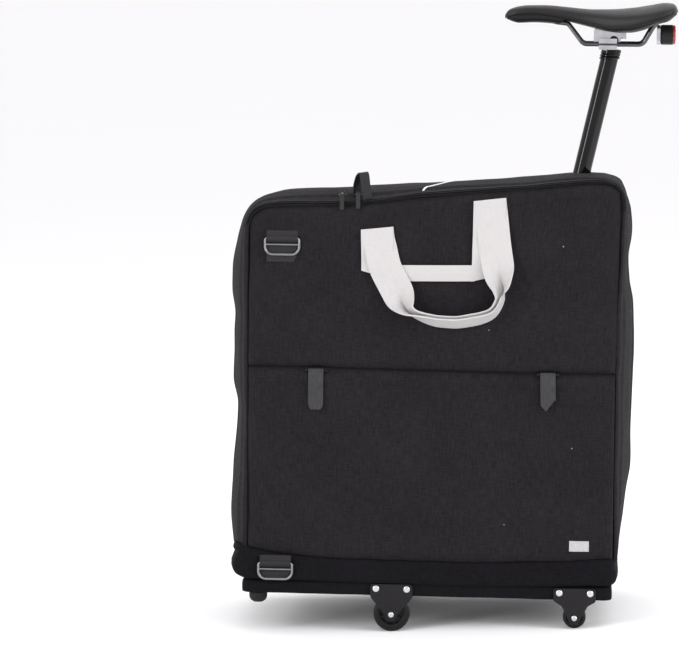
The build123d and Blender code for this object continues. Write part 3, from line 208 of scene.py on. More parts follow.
def cloth(name, steps, where, size, wall=0.0, flip=False, closed=False, angle=None):
    """A grid whose points go to where(u, v), with its own UVs in metres and a wall on its inner side."""
    clear_choice()
    bpy.ops.mesh.primitive_grid_add(x_subdivisions=steps[0], y_subdivisions=steps[1], size=2)
    piece = bpy.context.object
    piece.name = piece.data.name = name
    spots = [((v.co.x + 1) / 2, (v.co.y + 1) / 2) for v in piece.data.vertices]
    layer = piece.data.uv_layers.active.data
    for loop in piece.data.loops:
        u, v = spots[loop.vertex_index]
        layer[loop.index].uv = (u * size[0], v * size[1])
    for vertex, (u, v) in zip(piece.data.vertices, spots):
        vertex.co = place(*where(u, v))
    if flip:
        piece.data.flip_normals()
    if closed:
        weld(piece)
    if wall:
        apply(piece, "SOLIDIFY", thickness=wall / 1000, offset=-1, use_even_offset=False)
    pick(piece)
    if angle:
        bpy.ops.object.shade_smooth_by_angle(angle=radians(angle))
    else:
        bpy.ops.object.shade_smooth()
    return piece


def soften(piece, angle):
    pick(piece)
    bpy.ops.object.shade_smooth_by_angle(angle=radians(angle))


def thicken(piece, wall, bevel=0.0, angle=50):
    """Gives a sheet of webbing its thickness, in metres, both ways, and rounds its edges."""
    apply(piece, "SOLIDIFY", thickness=wall, offset=0.0)
    if bevel:
        apply(piece, "BEVEL", width=bevel, segments=2, limit_method="ANGLE", angle_limit=radians(60))
    soften(piece, angle)


def turned(name, profile, middle, axis="Y", steps=48, angle=35):
    """A round piece: a profile of (radius, height) turned about an axis through middle."""
    x0, y0, z0 = middle

    def where(u, v):
        radius, height = profile[round(v * (len(profile) - 1))]
        c, s = radius * cos(2 * pi * u), radius * sin(2 * pi * u)
        if axis == "Y":
            return x0 + c, y0 + height, z0 + s
        if axis == "Z":
            return x0 + c, y0 + s, z0 + height
        return x0 + c + POST_DIR.x * height, y0 + s, z0 + POST_DIR.z * height
    return cloth(name, (steps, len(profile) - 1), where, (0.1, 0.05), closed=True, angle=angle)


def block(name, low, high, bevel, segments=2):
    """A box between two corners, its edges rounded."""
    clear_choice()
    bpy.ops.mesh.primitive_cube_add(size=2)
    piece = bpy.context.object
    piece.name = piece.data.name = name
    for vertex in piece.data.vertices:
        share = [(c + 1) / 2 for c in vertex.co]
        vertex.co = place(*[a + (b - a) * s for a, b, s in zip(low, high, share)])
    bpy.ops.object.mode_set(mode="EDIT")
    bpy.ops.mesh.select_all(action="SELECT")
    bpy.ops.mesh.bevel(offset=bevel / 1000, segments=segments, affect="EDGES", clamp_overlap=True)
    bpy.ops.object.mode_set(mode="OBJECT")
    weld(piece)
    bpy.ops.object.shade_smooth_by_angle(angle=radians(40))
    return piece


def join(name, pieces):
    clear_choice()
    for piece in pieces:
        piece.select_set(True)
    bpy.context.view_layer.objects.active = pieces[0]
    bpy.ops.object.join()
    joined = bpy.context.object
    joined.name = joined.data.name = name
    return joined


def tube(name, path, radius, around=10, along=80, size=0.01):
    """Round piping along path(t), a function from 0 to 1."""
    def where(u, v):
        here = Vector(path(v))
        way = (Vector(path(min(1, v + 0.004))) - Vector(path(max(0, v - 0.004)))).normalized()
        side = way.cross(Vector((0, 1, 0.01))).normalized()
        lift = side.cross(way)
        r = radius * min(1, 40 * v + 0.05, 40 * (1 - v) + 0.05)
        return here + side * r * cos(2 * pi * u) + lift * r * sin(2 * pi * u)
    return cloth(name, (around, along), where, (size, size * 10), closed=True)


def copies(name, model, spots):
    """One mesh holding a copy of model at each (place, three directions)."""
    shape = [v.co.copy() for v in model.data.vertices]
    faces = [tuple(p.vertices) for p in model.data.polygons]
    points, made = [], []
    for middle, (a, b, c) in spots:
        start = len(points)
        points += [middle + a * p.x + b * p.y + c * p.z for p in shape]
        made += [tuple(i + start for i in face) for face in faces]
    mesh = bpy.data.meshes.new(name)
    mesh.from_pydata(points, [], made)
    piece = bpy.data.objects.new(name, mesh)
    bpy.context.scene.collection.objects.link(piece)
    bpy.data.objects.remove(model)
    weld(piece, 1e-7)
    bpy.ops.object.shade_smooth()
    return piece


def stitches(name, runs, out, length=3.4, gap=1.5, thick=0.42):
    """Rows of thread: each run is two points in bag axes, on a face whose outward way is out."""
    clear_choice()
    bpy.ops.mesh.primitive_uv_sphere_add(segments=6, ring_count=5, radius=1)
    model = bpy.context.object
    spots = []
    for start, end in runs:
        start, end = Vector(start), Vector(end)
        count = max(1, int((end - start).length / (length + gap)))
        for k in range(count):
            here = start.lerp(end, (k + 0.5) / count)
            middle = place(*here)
            way = (place(*(here + (end - start))) - middle).normalized()
            face = (place(*(here + Vector(out))) - middle).normalized()
            across = way.cross(face)
            spots.append((middle, (way * length / 2000, across * thick / 1000, face * thick / 1000)))
    return copies(name, model, spots)


# ---------------------------------------------------------------- materials
class Num:
    """A number that varies over a surface. Arithmetic on it adds Math nodes."""

    def __init__(self, paint, socket):
        self.paint, self.socket = paint, socket

    def math(self, operation, *others):
        return self.paint.node("ShaderNodeMath", {"operation": operation}, dict(enumerate((self, *others))))

    def __add__(self, other):
        return self.math("ADD", other)

    def __mul__(self, other):
        return self.math("MULTIPLY", other)

    def __sub__(self, other):
        return self.math("SUBTRACT", other)

    def __rsub__(self, other):
        return self.paint.node("ShaderNodeMath", {"operation": "SUBTRACT"}, {0: other, 1: self})

    __radd__, __rmul__ = __add__, __mul__


class Paint:
    """A material under construction."""

    def __init__(self, name):
        self.material = bpy.data.materials.new(name)
        self.material.use_nodes = True
        self.nodes = self.material.node_tree.nodes
        self.shader = self.nodes["Principled BSDF"]

    def put(self, socket, value):
        if isinstance(value, Num):
            value = value.socket
        if isinstance(value, bpy.types.NodeSocket):
            self.material.node_tree.links.new(value, socket)
        else:
            socket.default_value = value

    def node(self, kind, settings, values, output=0):
        made = self.nodes.new(kind)
        for name, value in settings.items():
            setattr(made, name, value)
        for name, value in values.items():
            self.put(made.inputs[name], value)
        return Num(self, made.outputs[output])

    def coords(self, own=True, scale=(1, 1, 1)):
        where = self.node("ShaderNodeTexCoord", {}, {}, "UV" if own else "Object")
        return self.node("ShaderNodeMapping", {}, {"Vector": where, "Scale": scale})

    def noise(self, where, scale=1.0, detail=2.0, rough=0.5):
        return self.node("ShaderNodeTexNoise", {}, {"Vector": where, "Scale": scale, "Detail": detail,
                                                    "Roughness": rough}, "Fac")

    def ramp(self, value, low, high, start=0.0, end=1.0):
        return self.node("ShaderNodeMapRange", {}, {"Value": value, "From Min": low, "From Max": high,
                                                    "To Min": start, "To Max": end})

    def mix(self, share, first, second):
        made = self.nodes.new("ShaderNodeMix")
        made.data_type = "RGBA"
        self.put(made.inputs["Factor"], share)
        self.put(made.inputs[6], first)
        self.put(made.inputs[7], second)
        return Num(self, made.outputs[2])

    def finish(self, color, rough, height=None, distance=0.0005, strength=1.0, **constant):
        self.put(self.shader.inputs["Base Color"], color)
        self.put(self.shader.inputs["Roughness"], rough)
        if height is not None:
            bump = self.node("ShaderNodeBump", {}, {"Height": height, "Distance": distance,
                                                    "Strength": strength}, "Normal")
            self.put(self.shader.inputs["Normal"], bump)
        for name, value in constant.items():
            self.put(self.shader.inputs[name.replace("_", " ")], value)
        return self.material


def rgb(*values):
    return (*values, 1.0)


def woven(name, dark, pale, yarn=0.0011, specks=0.0, own=True, bump=1.0, sheen=0.02):
    """Coarse two-tone weave with slubs, a tonal drift and a few lint specks."""
    p = Paint(name)
    fine = p.coords(own, (1 / yarn, 1 / yarn, 1 / yarn))
    warp = p.noise(p.coords(own, (0.55 / yarn, 0.06 / yarn, 0.06 / yarn)), 1.0, 2.0)
    weft = p.noise(p.coords(own, (0.06 / yarn, 0.55 / yarn, 0.55 / yarn)), 1.0, 2.0)
    slub = p.noise(p.coords(own, (0.28 / yarn, 0.02 / yarn, 0.02 / yarn)), 1.0, 1.0)
    drift = p.noise(p.coords(own, (9, 9, 9)), 1.0, 3.0)
    parts = p.nodes.new("ShaderNodeSeparateXYZ")
    p.put(parts.inputs[0], fine)
    over = Num(p, parts.outputs[0]).math("MULTIPLY", pi).math("SINE") * Num(p,
        parts.outputs[1]).math("MULTIPLY", pi).math("SINE")
    heather = warp * 0.45 + weft * 0.4 + slub * 0.15
    share = p.ramp(heather, 0.36, 0.64) + p.ramp(drift, 0.3, 0.7, -0.16, 0.16) + over * 0.1
    color = p.mix(share.math("MINIMUM", 1.0).math("MAXIMUM", 0.0), dark, pale)
    if specks:
        cells = p.node("ShaderNodeTexVoronoi", {}, {"Vector": p.coords(own, (42, 42, 42)), "Scale": 1.0},
                       "Distance")
        color = p.mix(p.ramp(cells, specks, specks * 0.5) * p.ramp(p.noise(p.coords(own, (13, 13, 13))), 0.6,
            0.64), color, rgb(0.3, 0.29, 0.3))
    height = over * 0.5 + warp * 0.35 + weft * 0.35
    return p.finish(color, p.ramp(heather, 0.3, 0.7, 0.96, 0.82), height, yarn * 0.32 * bump, 0.8,
                    Sheen_Weight=sheen, Sheen_Roughness=0.4, Specular_IOR_Level=0.14)


def ribbed(name, dark, pale, rib=0.0016, rough=0.75, soil=0.15, sheen=0.03):
    """Webbing: fine ribs along its length, cross threads and a little handling dirt."""
    p = Paint(name)
    parts = p.nodes.new("ShaderNodeSeparateXYZ")
    p.put(parts.inputs[0], p.coords(True, (1 / rib, 0.45 / rib, 1)))
    across, along = Num(p, parts.outputs[0]), Num(p, parts.outputs[1])
    rows = (across * (2 * pi)).math("SINE")
    twill = ((across + along) * (2 * pi)).math("SINE")
    yarn = p.noise(p.coords(True, (0.8 / rib, 0.12 / rib, 1)), 1.0, 2.0)
    drift = p.noise(p.coords(True, (22, 9, 1)), 1.0, 3.0)
    share = p.ramp(rows * 0.25 + twill * 0.2 + yarn, 0.2, 0.95) - p.ramp(drift, 0.5, 0.8, 0.0, soil)
    color = p.mix(share.math("MINIMUM", 1.0).math("MAXIMUM", 0.0), dark, pale)
    return p.finish(color, p.ramp(yarn, 0.3, 0.7, rough - 0.08, rough + 0.08),
                    rows * 0.5 + twill * 0.3 + yarn * 0.4,
                    rib * 0.16, 0.7, Sheen_Weight=sheen, Specular_IOR_Level=0.3)


def metal(name, color, rough, scratches=0.12, metallic=1.0, coat=0.0):
    p = Paint(name)
    fine = p.noise(p.coords(False, (900, 900, 60)), 1.0, 3.0)
    cloud = p.noise(p.coords(False, (60, 60, 60)), 1.0, 4.0)
    tint = p.mix(p.ramp(cloud, 0.3, 0.7), rgb(*[c * 0.82 for c in color]), rgb(*color))
    return p.finish(tint, p.ramp(cloud * 0.6 + fine * 0.4, 0.3, 0.7, rough - scratches / 2,
                                 rough + scratches), fine, 0.00004, 0.5,
                    Metallic=metallic, Coat_Weight=coat, Coat_Roughness=0.06)


def plastic(name, color, rough, grain=0.00012, size=1400, coat=0.0, worn=0.25, shine=0.2):
    """Moulded plastic, rubber or paint with a fine grain and slightly paler, duster patches."""
    p = Paint(name)
    fine = p.noise(p.coords(False, (size, size, size)), 1.0, 2.0)
    cloud = p.noise(p.coords(False, (35, 35, 35)), 1.0, 4.0)
    tint = p.mix(p.ramp(cloud, 0.42, 0.72, 0.0, worn), rgb(*color), rgb(*[c * 1.8 + 0.004 for c in color]))
    return p.finish(tint, p.ramp(cloud, 0.3, 0.7, rough - 0.06, rough + 0.08), fine, grain, 0.6,
                    Specular_IOR_Level=shine, Coat_Weight=coat, Coat_Roughness=0.05)


def leather(name, color):
    p = Paint(name)
    cells = p.node("ShaderNodeTexVoronoi", {"feature": "DISTANCE_TO_EDGE"},
                   {"Vector": p.coords(False, (620, 620, 620)), "Scale": 1.0}, "Distance")
    cloud = p.noise(p.coords(False, (30, 30, 30)), 1.0, 4.0)
    tint = p.mix(p.ramp(cloud, 0.35, 0.7), rgb(*color), rgb(*[c * 1.35 for c in color]))
    return p.finish(tint, p.ramp(cloud, 0.3, 0.7, 0.34, 0.46), p.ramp(cells, 0.0, 0.12), 0.00012, 0.5,
                    Specular_IOR_Level=0.24)


def lens_red(name):
    p = Paint(name)
    cells = p.node("ShaderNodeTexVoronoi", {}, {"Vector": p.coords(False, (420, 420, 420)), "Scale": 1.0},
                   "Distance")
    tint = p.mix(p.ramp(cells, 0.1, 0.6), rgb(0.5, 0.012, 0.015), rgb(0.28, 0.004, 0.01))
    return p.finish(tint, 0.18, cells, 0.0004, 0.6, Coat_Weight=0.6, Transmission_Weight=0.25)


MADE = {}


def finish_of(slot):
    """The material for one of the record's slots, made once."""
    if slot not in MADE:
        sizes = bpy.context.scene.bag_sizes
        tone = sizes.cloth_tone
        grey = sizes.webbing_tone
        recipes = {
            "woven_cloth": lambda: woven("charcoal_weave", rgb(tone * 0.64, tone * 0.56, tone * 0.66),
                                         rgb(tone * 1.52, tone * 1.36, tone * 1.56), yarn=0.0009,
                                         specks=0.05),
            "webbing_black": lambda: ribbed("black_webbing", rgb(0.008, 0.008, 0.009),
                                            rgb(0.045, 0.043, 0.047), rough=0.55),
            "webbing_grey": lambda: ribbed("pale_webbing", rgb(grey * 0.93, grey * 0.9, grey * 0.9),
                                           rgb(grey * 1.03, grey, grey), soil=0.22, rib=0.0019),
            # This dark weave also covers the padded band, where its darkness is painted shade for the band's
            # shadowed place low on the bag.
            "base_cloth": lambda: woven("base_cover", rgb(0.0014, 0.0011, 0.0019),
                                        rgb(0.0055, 0.0047, 0.0068), yarn=0.0008, sheen=0.0),
            "zip_nylon": lambda: plastic("zip_nylon", (0.006, 0.006, 0.006), 0.4, worn=0.1),
            "reflective": lambda: ribbed("reflective_tape", rgb(0.6, 0.6, 0.61), rgb(0.85, 0.85, 0.86),
                                         rough=0.45, soil=0.1),
            "patch": lambda: ribbed("blank_label", rgb(0.3, 0.3, 0.31), rgb(0.5, 0.5, 0.51), rib=0.0008),
            "zinc": lambda: metal("grey_zinc", (0.24, 0.24, 0.245), 0.3),
            "dark_zinc": lambda: metal("dark_zinc", (0.03, 0.03, 0.031), 0.3, metallic=0.6),
            "tab_webbing": lambda: ribbed("tab_webbing", rgb(0.005, 0.0045, 0.0052), rgb(0.02, 0.018, 0.021),
                                          rough=0.7),
            "castor_steel": lambda: plastic("painted_steel", (0.008, 0.007, 0.008), 0.36, worn=0.15),
            "bolt_steel": lambda: metal("bright_bolts", (0.62, 0.62, 0.64), 0.18, 0.08),
            "castor_tyre": lambda: plastic("tread_rubber", (0.005, 0.0045, 0.005), 0.34, worn=0.3),
            "rubber": lambda: plastic("black_rubber", (0.008, 0.007, 0.008), 0.55),
            "post_black": lambda: plastic("gloss_post", (0.002, 0.002, 0.0025), 0.12, grain=0.000002,
                                          worn=0.02, shine=0.27),
            "clamp_silver": lambda: metal("cast_clamp", (0.55, 0.55, 0.57), 0.26),
            "rail_steel": lambda: metal("bright_rails", (0.1, 0.1, 0.103), 0.12, 0.05),
            "saddle_skin": lambda: leather("saddle_skin", (0.009, 0.008, 0.0088)),
            "saddle_plastic": lambda: plastic("saddle_base", (0.006, 0.0055, 0.006), 0.42, worn=0.15),
            "lamp_plastic": lambda: plastic("lamp_case", (0.009, 0.009, 0.009), 0.36, worn=0.15),
            "lamp_red": lambda: lens_red("red_lens"),
            "frame_paint": lambda: plastic("frame_paint", (0.02, 0.05, 0.12), 0.28, coat=0.6, worn=0.1),
            "alloy": lambda: metal("alloy", (0.6, 0.6, 0.62), 0.32),
            "chain_steel": lambda: metal("chain_steel", (0.32, 0.3, 0.29), 0.38),
            "pale_thread": lambda: ribbed("pale_thread", rgb(0.6, 0.58, 0.55), rgb(0.8, 0.78, 0.74),
                                          rib=0.0005),
            "dark_thread": lambda: plastic("dark_thread", (0.05, 0.048, 0.052), 0.6, worn=0.2),
        }
        MADE[slot] = recipes[slot]()
    return MADE[slot]


def done(piece, slot, body, nodes=(), finish=None):
    """Gives a finished piece its material, its body and the CAD nodes that it stands for."""
    piece.data.materials.clear()
    piece.data.materials.append(finish_of(finish or slot))
    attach(piece, body)
    if nodes:
        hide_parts(*nodes)
    return piece


# ---------------------------------------------------------------- panels, gussets and base
def upper_panel(name, side):
    def where(u, v):
        share = NOSE_SHARE * 0.985 + (TAIL_SHARE + 0.004 - NOSE_SHARE * 0.985) * (u if side < 0 else 1 - u)
        x1, z1, _ = rim(share)
        t = u if side < 0 else 1 - u
        x0 = -281.3 + (287.8 + 281.3) * t
        z0 = mid_line(x0)
        drop = back_drop(x1, z1) if side > 0 else 0
        x, z = x0 + (x1 - x0) * v, z0 + (z1 - z0) * v
        y = side * (BACK + bulge(x, z, side))
        return x, y, z - drop * v
    return cloth(name, (170, 92), where, (0.62, 0.27), wall=5.0)


def lower_panel(name, side):
    def where(u, v):
        t = u if side < 0 else 1 - u
        x = -281.3 + (287.8 + 281.3) * t + (1.6 * t * (1 - v))
        z = low_line(x) - 2 + (mid_line(x) - low_line(x) + 2) * v
        return on_face(x, z, side)
    return cloth(name, (160, 96), where, (0.57, 0.3), wall=5.0)


def gusset_spot(s, v):
    """A point on the end walls and top: s runs round the outline and v through the depth."""
    x, z, stand = rim(s)
    x0, z0, _ = rim(max(0, s - 0.004))
    x1, z1, _ = rim(min(1, s + 0.004))
    run = hypot(x1 - x0, z1 - z0)
    nx, nz = -(z1 - z0) / run, (x1 - x0) / run
    top = max(0.0, nz)
    peak = 0.5 - 0.17 * top
    reach = (v - peak) / (peak if v < peak else 1 - peak)
    depth = 288 * v
    edge = min(depth, 288 - depth)
    out = stand * (1 - abs(reach) ** 2.3)
    out += 2.4 * ridge(edge - 4, 3.2) - 2.2 * ridge(edge - 22,
                                                    2.6) * (0.35 + 0.65 * top) + 1.4 * ridge(edge - 30, 5)
    out += 1.6 * ripple(s * 1500, depth, 9, 46) + 1.9 * ripple(s * 1500, depth * 0.5, 12, 95)
    out -= (2.4 * ridge(depth - 96, 2.6) - 1.8 * ridge(depth - 106, 6)) * (1 - top) * min(1,
        max(0, (z - 130) / 60))
    out *= min(1, edge / 3.0) * 0.9 + 0.1
    drop = back_drop(x, z) * v * top
    return x + nx * out, -144 + depth, z + nz * out - drop


def gusset(name, start, end, steps):
    return cloth(name, steps, lambda u, v: gusset_spot(start + (end - start) * (1 - u), v),
                 ((end - start) * 1.75, 0.29), wall=3.0, flip=False)


def base_loop(u, grow):
    """Round the base: a rectangle with rounded corners, grown outwards."""
    half_x, half_y, corner = 290 + grow, 149.5 + grow, 10 + max(0, grow)
    straight = [2 * (half_x - corner), pi * corner / 2, 2 * (half_y - corner), pi * corner / 2] * 2
    run = u % 1 * sum(straight)
    start = [(-half_x + corner, -half_y), (half_x - corner, -half_y), (half_x, -half_y + corner),
             (half_x, half_y - corner),
             (half_x - corner, half_y), (-half_x + corner, half_y), (-half_x, half_y - corner),
             (-half_x, -half_y + corner)]
    for k, length in enumerate(straight):
        if run <= length or k == 7:
            break
        run -= length
    x, y = start[k]
    heading = (0, 0, pi / 2, pi / 2, pi, pi, 3 * pi / 2, 3 * pi / 2)[k]
    if k % 2 == 0:
        return x + run * cos(heading), y + run * sin(heading)
    turn = run / corner
    cx, cy = x - corner * sin(heading), y + corner * cos(heading)
    return cx + corner * sin(heading + turn), cy - corner * cos(heading + turn)


BAND_OUT = curve([(0, -5), (0.06, 0.5), (0.14, 3.6), (0.3, 4.6), (0.55, 3.2), (0.8, 2.4), (0.93, 1.0),
                  (1.0, -5.0)])


def band_spot(u, v):
    x, y = base_loop(u, 0)
    low, high = base_line(x) + 0.6, low_line(x) + 3
    z = low + (high - low) * v
    out = BAND_OUT(v) + 1.7 * ripple(x * 1.0 + y * 0.7, z * 2.2, 21, 60) * sin(pi * v) + 1.0 * ripple(x + y,
        z * 3, 23, 24) * sin(pi * v)
    end = abs(x) > 286
    if end:
        side = (18 if x < 0 else 5) * (1 - (y / 150) ** 4) ** 0.8 if abs(y) < 150 else 0
        out += side * sin(pi * min(1, v * 1.2)) ** 0.6 if v < 0.83 else side * 0.9
    gx, gy = base_loop(u, out + 0.2)
    return gx, gy, z


def bottom_band(name):
    return cloth(name, (440, 22), lambda u, v: band_spot(u, v), (1.76, 0.05), wall=3.0, closed=True)


BASE_SIDE = [(-6, 0.6), (-2.4, 0.2), (-0.8, 1.0), (0, 3.2), (0.2, 8), (0.0, 14), (-0.4, 18.2), (-2.2, 20),
             (-8, 20.2)]


def base_cover(name):
    """The board in its cloth cover, closed above and below."""
    rings = [(-148, 0.5), (-60, 0.5)] + BASE_SIDE + [(-60, 20), (-148, 20)]

    def where(u, v):
        grow, z = rings[round(v * (len(rings) - 1))]
        if grow < -20:
            x, y = base_loop(u, -8)
            share = 1 - (-grow / 148)
            return x * max(share, 0.02), y * max(share, 0.0), z
        x, y = base_loop(u, grow - 0.2)
        return x, y, z + 0.35 * ripple(x, y, 31, 30)
    return cloth(name, (260, len(rings) - 1), where, (1.76, 0.08), closed=True, angle=50)


class BAG_OT_shell(bpy.types.Operator):
    """Model the panels, the gussets, the padded band and the covered base"""
    bl_idname = "bag.shell"
    bl_label = "Bag Shell"

    def execute(self, context):
        done(upper_panel("front_upper_cloth", -1), "woven_cloth", "front_flap", ["front_upper_panel"])
        done(lower_panel("front_lower_cloth", -1), "woven_cloth", "bag", ["front_lower_panel"])
        done(upper_panel("back_upper_cloth", 1), "woven_cloth", "bag", ["back_upper_panel"])
        done(lower_panel("back_lower_cloth", 1), "woven_cloth", "bag", ["back_lower_panel"])
        done(gusset("nose_end_cloth", 0, NOSE_SHARE, (110, 58)), "woven_cloth", "bag", ["nose_end_gusset"])
        done(gusset("top_cloth", NOSE_SHARE, TAIL_SHARE, (170, 64)), "woven_cloth", "bag", ["top_gusset"])
        done(gusset("tail_end_cloth", TAIL_SHARE, 1, (120, 58)), "woven_cloth", "bag", ["tail_end_gusset"])
        # The padded band gets the much darker base cover weave instead of its slot's woven cloth: painted
        # shade for the shadowed band.
        done(bottom_band("padded_band"), "woven_cloth", "bag", ["bottom_band"], finish="base_cloth")
        done(base_cover("covered_base"), "base_cloth", "bag", ["base_board"])
        return {"FINISHED"}


# ---------------------------------------------------------------- handles
LOOP = [  # x, z, stand-off, half opening of the fold in degrees, lean of the fold in degrees
    (-82, 578, 3.0, 90, 90), (-80, 562, 4.0, 90, 90), (-76, 546, 5.5, 90, 90), (-69, 519, 7.5, 90, 90),
        (-58, 497, 7.5, 88, 90),
    (-49, 480, 7.5, 80, 90), (-43, 466, 7.0, 56, 88), (-36, 452, 6.5, 24, 80), (-22, 440, 6.0, 9, 64),
        (-4, 431.5, 6.5, 7, 52),
    (14, 427, 7.0, 7, 47), (40, 425.5, 8.0, 7, 45), (68, 429.5, 8.0, 8, 44), (87, 435, 8.0, 8, 48),
        (101, 443, 7.5, 8, 54),
    (111, 457, 7.0, 8, 62), (116, 474, 7.0, 9, 66), (114, 490, 7.0, 30, 78), (108, 509, 7.0, 62, 86),
        (104, 528, 6.8, 84, 90),
    (100, 552, 6.5, 90, 90), (95, 592, 4.5, 90, 90), (92.5, 612, 3.5, 90, 90), (91, 625, 3.0, 90, 90)]
loop_path = track(LOOP)


def handle_spot(side, u, v):
    """A point on the hanging loop: u across the webbing and v along it."""
    x, z, stand, opening, lean = loop_path(v)
    x0, z0 = loop_path(max(0, v - 0.01))[:2]
    x1, z1 = loop_path(min(1, v + 0.01))[:2]
    way = Vector((x1 - x0, z1 - z0)).normalized()
    inner = Vector((-way.y, way.x))
    q = (u - 0.5) * WEBBING
    beta, rho = radians(opening), radians(lean)
    flat, fold = abs(q) * sin(beta) * (1 if q > 0 else -1), abs(q) * cos(beta)
    plane = fold * cos(rho) + flat * sin(rho)
    out = fold * sin(rho) - flat * cos(rho)
    out += 1.2 * ripple(v * 900, q * 1.5, 41, 70)
    px, pz = x + inner.x * plane, z + inner.y * plane
    under = max(bulge(px, pz, side), 0.0)
    return px, side * (BACK + min(DEEPEST, max(stand + out, under + 1.2 + (0.5 if stand > 3.2 else 0.0)))), pz


def handle_loop(name, side):
    piece = cloth(name, (20, 240), lambda u, v: handle_spot(side, u, v), (0.05, 0.44), flip=side > 0)
    thicken(piece, 0.0022, 0.0006, 55)
    return piece


def strip(name, side, left, right, steps, size, lift, wall=1.8):
    """Webbing lying on a panel, between two edges that are read from 0 to 1."""
    def where(u, v):
        (x0, z0), (x1, z1) = left(v), right(v)
        x, z = x0 + (x1 - x0) * u, z0 + (z1 - z0) * u
        crown = 0.35 * sin(pi * u) + 0.25 * ripple(x, z, 51, 14)
        return on_face(x, z, side, lift + wall + crown)
    piece = cloth(name, steps, where, size, wall=wall, flip=side > 0)
    soften(piece, 45)
    return piece


def line(*points):
    return lambda t: track(points)(t)[:2] if len(points) > 2 else [a + (b - a) * t for a, b in zip(*points)]


def handle_anchor(name, side):
    left = strip(name, side, line((-107, 575.7), (-105.5, 512)), line((-57.6, 580.4), (-56, 498)), (16, 30),
                 (0.05, 0.08), 0.9)
    right = strip(name + "_r", side, line((66.4, 622.1), (64.5, 498)), line((115.4, 627.5), (113.5, 510)),
                  (16, 44), (0.05, 0.12), 0.9)
    bar = strip(name + "_b", side, line((-62, 496.6), (69, 498.4)), line((-62, 521.2), (69, 523.2)), (9, 60),
                (0.025, 0.19), 0.2)
    pick(bar)
    bpy.ops.object.mode_set(mode="EDIT")
    bpy.ops.mesh.select_all(action="SELECT")
    bpy.ops.mesh.normals_make_consistent(inside=False)
    bpy.ops.object.mode_set(mode="OBJECT")
    return join(name, [left, right, bar])


def panel_run(side, start, end, lift, pieces=6):
    """A row of thread on a panel, cut into short straight runs that follow the cloth."""
    spots = [on_face(start[0] + (end[0] - start[0]) * k / pieces,
                     start[1] + (end[1] - start[1]) * k / pieces, side, lift) for k in range(pieces + 1)]
    return list(zip(spots, spots[1:]))


class BAG_OT_handles(bpy.types.Operator):
    """Model the pale webbing handles, front and back, with their stitching"""
    bl_idname = "bag.handles"
    bl_label = "Webbing Handles"

    def execute(self, context):
        for side, where, body in ((-1, "front", "front_flap"), (1, "back", "bag")):
            done(handle_loop(where + "_webbing_loop", side), "webbing_grey", where + "_handle",
                 [where + "_handle"])
            done(handle_anchor(where + "_sewn_webbing", side), "webbing_grey", body,
                 [where + "_handle_anchor"])
            runs = []
            for z in (500.5, 518.5):
                runs += panel_run(side, (-38, z), (62, z + 1.5), 2.6)
            for x, top in ((-103.5, 572), (112, 623)):
                runs += panel_run(side, (x, top), (x, 516), 3.3)
            done(stitches(where + "_handle_stitching", runs, (0, side, 0)), "webbing_grey", body,
                 finish="pale_thread")
        return {"FINISHED"}


# ---------------------------------------------------------------- rings, straps, zip and label
def profile_ribbon(name, x0, x1, path, steps, size, wall=1.3):
    """Webbing of constant width whose side view is a path of (y, z)."""
    read = track(path)

    def where(u, v):
        y, z = read(v)[:2]
        return x0 + (x1 - x0) * u, y + 0.15 * ripple(u * 40, v * 90, 61, 9), z
    piece = cloth(name, steps, where, size, flip=False)
    thicken(piece, wall / 1000, 0.0004)
    return piece


def round_wire(y, z, radius, start, end, count=9):
    return [(y - radius * cos(radians(start + (end - start) * k / (count - 1))),
             z + radius * sin(radians(start + (end - start) * k / (count - 1)))) for k in range(count)]


